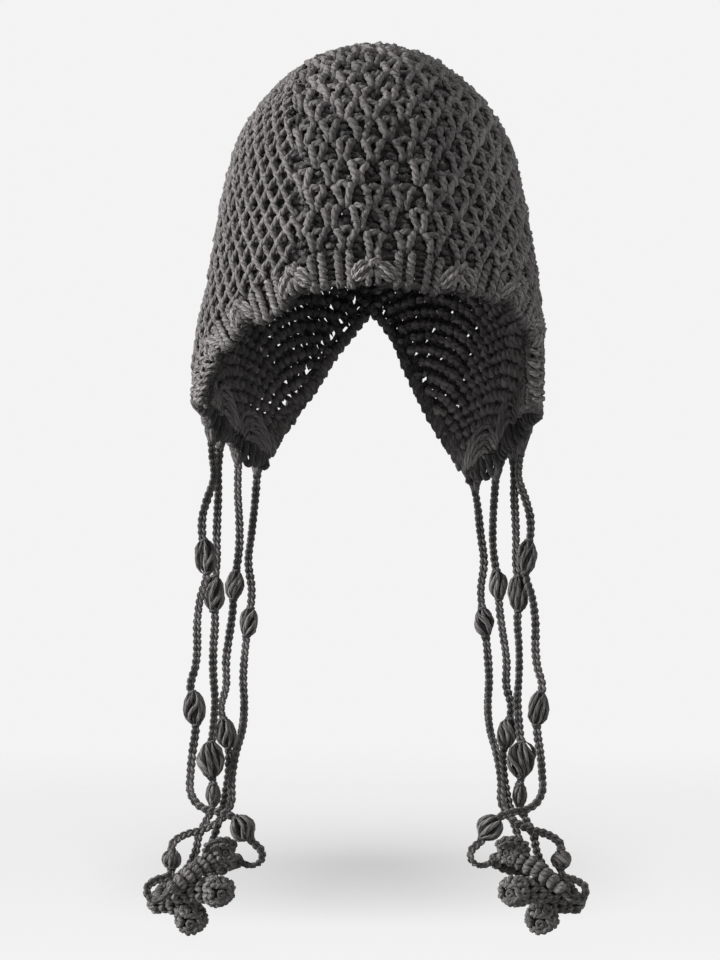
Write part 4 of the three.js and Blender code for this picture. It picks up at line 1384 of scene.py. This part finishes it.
def edgingYarn(side):
    yarn = newYarn()
    fine = np.linspace(edging["from"], 1, edging["samples"])
    reach = reachOf(sheetPoints(side, np.ones_like(fine), fine, np.zeros_like(fine)) * 1000)
    for where in np.arange(0, reach[-1], edging["every"]):
        for lean in (-1, 1):
            t = np.interp(where + lean * np.array((2.6, 1.7, 0.0, -1.2, -2.0)), reach, fine)
            inset = np.array((edging["inset"], 3.5, 0.0, 3.0, edging["inset"])) / edging["rowLength"]
            out = np.array((-1.6, 0.2, -3.2 + lean, -7.6, -6.2)) + random.normal(0, 0.3, 5)
            points = sheetPoints(side, 1 - inset, t, out)
            points[2] += (points[2] - points[0]) * (0.12 + 0.12 * random.random())
            addStrand(yarn, smoothRows(points, 3), edging["radius"] / 1000, 0.3 + 0.5 * random.random())
    for out, shift in ((-2.2, 0.0), (-4.8, 1.5)):
        where = np.linspace(0, reach[-1], edging["lineSamples"])
        s = np.full_like(where, 1 - edging["lineInset"] / edging["rowLength"])
        wobble = 0.7 * np.sin(where / edging["every"] * 2 * math.pi + shift)
        points = sheetPoints(side, s, np.interp(where, reach, fine), out + wobble)
        addStrand(yarn, points, edging["lineRadius"], 0.4)
    return yarn


def seamYarn():
    yarn = newYarn()
    for n in range(seam["stitches"]):
        s = (n + 0.5) / seam["stitches"] + np.array((0.0, 0.004, 0.012))
        half = sheetPoints(1, s, np.array((0.955, 0.985, 1.0)), np.array((-2.6, -0.4, -1.2)))
        other = half[-2::-1] * (-1, 1, 1)
        addStrand(yarn, smoothRows(np.vstack([half, other]), 3), seam["radius"], 0.3 + 0.4 * random.random())
    s = np.linspace(0, 1, seam["samples"])
    for out in (-2.6, -5.2):
        points = sheetPoints(1, s, np.full_like(s, 0.999), out + 0.6 * np.sin(s * 120))
        points[:, 0] = 0.0008 * np.sin(s * 90)
        addStrand(yarn, points, seam["lineRadius"], 0.35)
    return yarn


for name, yarn in (("left_back_edging", edgingYarn(-1)), ("right_back_edging", edgingYarn(1)),
                   ("back_seam", seamYarn())):
    piece = layYarn(name, yarn, knitYarn, knobs=0.09)
    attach(piece, "root")
    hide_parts("knitted_crown_and_flaps")
print("edges and seam sewn")


# Floor: a pale disc that fades into the background at its rim

stage = {"floorHeight": -0.3805, "radius": 3.0, "segments": 96, "fadeFrom": 0.42, "fadeTo": 1.25,
         "brightness": 0.50, "matte": 0.60}
backdrop = {"seen": 0.897, "fill": 0.10}


def floorMaterial():
    material = bpy.data.materials.new("floor")
    material.use_nodes = True
    tree = material.node_tree
    tree.nodes.clear()
    coords = addNode(tree, "TexCoord")
    distance = addNode(tree, "VectorMath", {0: coords.outputs["Object"]}, "LENGTH")
    fade = addNode(tree, "MapRange", {"Value": distance.outputs["Value"], "From Min": stage["fadeFrom"],
                                      "From Max": stage["fadeTo"]})
    fade.interpolation_type = "SMOOTHSTEP"
    facing = addNode(tree, "NewGeometry")
    hidden = addMath(tree, "MAXIMUM", fade.outputs["Result"], facing.outputs["Backfacing"])
    grey = (stage["matte"], stage["matte"], stage["matte"], 1)
    matte = addNode(tree, "BsdfDiffuse", {"Color": grey}).outputs[0]
    glow = addNode(tree, "Emission", {"Strength": stage["brightness"]}).outputs[0]
    dark = addNode(tree, "Emission", {"Strength": 0.0}).outputs[0]
    seen = addNode(tree, "LightPath").outputs["Is Camera Ray"]
    direct = addNode(tree, "MixShader", {0: seen, 1: dark, 2: glow}).outputs[0]
    both = addNode(tree, "AddShader", {0: matte, 1: direct}).outputs[0]
    clear = addNode(tree, "BsdfTransparent").outputs[0]
    mix = addNode(tree, "MixShader", {0: hidden, 1: both, 2: clear}).outputs[0]
    addNode(tree, "OutputMaterial", {"Surface": mix})
    return material


def makeFloor():
    shape = bmesh.new()
    bmesh.ops.create_circle(shape, cap_ends=True, segments=stage["segments"], radius=stage["radius"])
    bmesh.ops.translate(shape, verts=shape.verts, vec=(0, 0, stage["floorHeight"]))
    mesh = bpy.data.meshes.new("floor")
    shape.to_mesh(mesh)
    shape.free()
    piece = bpy.data.objects.new("floor", mesh)
    bpy.context.scene.collection.objects.link(piece)
    mesh.materials.append(floorMaterial())
    return piece


floor = makeFloor()


# Background: even and pale for the camera, a weaker fill for the object

def makeWorld():
    world = bpy.data.worlds.new("studio")
    bpy.context.scene.world = world
    world.use_nodes = True
    tree = world.node_tree
    tree.nodes.clear()
    lit, seen = [addNode(tree, "Background", {"Color": (1, 1, 1, 1), "Strength": backdrop[key]}).outputs[0]
                 for key in ("fill", "seen")]
    path = addNode(tree, "LightPath")
    mix = addNode(tree, "MixShader", {0: path.outputs["Is Camera Ray"], 1: lit, 2: seen})
    addNode(tree, "OutputWorld", {"Surface": mix.outputs[0]})


makeWorld()

# The lights that shape the knit leave the floor alone, and one from above lights only the floor
# and throws the soft shadow on it
softLights = [
    {"name": "key", "place": (-2.2, -0.62, 0.5), "size": 0.8, "power": 108.0},
    {"name": "side", "place": (2.3, 0.35, 0.5), "size": 1.2, "power": 15.0},
    {"name": "front", "place": (0.6, -2.4, 0.5), "size": 1.2, "power": 14.0},
    {"name": "back", "place": (0.0, 2.4, 1.1), "size": 1.6, "power": 5.0},
    {"name": "top", "place": (0.0, -1.15, 1.5), "size": 0.5, "power": 8.5},
    {"name": "floor wash", "place": (0.0, -2.6, 3.2), "size": 1.7, "power": 140.0},
]


def lightGroup(name, pieces, state):
    group = bpy.data.collections.new(name)
    for piece in pieces:
        group.objects.link(piece)
    for member in group.collection_objects:
        member.light_linking.link_state = state
    return group


litFloor = lightGroup("only the floor", [floor], "INCLUDE")
darkFloor = lightGroup("all but the floor", [floor], "EXCLUDE")
shadeless = lightGroup("all but the ties", tiePieces, "EXCLUDE")


def makeLight(made):
    data = bpy.data.lights.new(made["name"], "AREA")
    data.size = made["size"]
    data.energy = made["power"]
    light = bpy.data.objects.new(made["name"], data)
    light.location = made["place"]
    light.rotation_euler = (-Vector(made["place"])).to_track_quat("-Z", "Y").to_euler()
    bpy.context.scene.collection.objects.link(light)
    if made["name"] == "floor wash":
        light.light_linking.receiver_collection = litFloor
        light.light_linking.blocker_collection = shadeless
    else:
        light.light_linking.receiver_collection = darkFloor


for made in softLights:
    makeLight(made)
bpy.context.scene.view_settings.view_transform = "Standard"
print("stage and lights set")
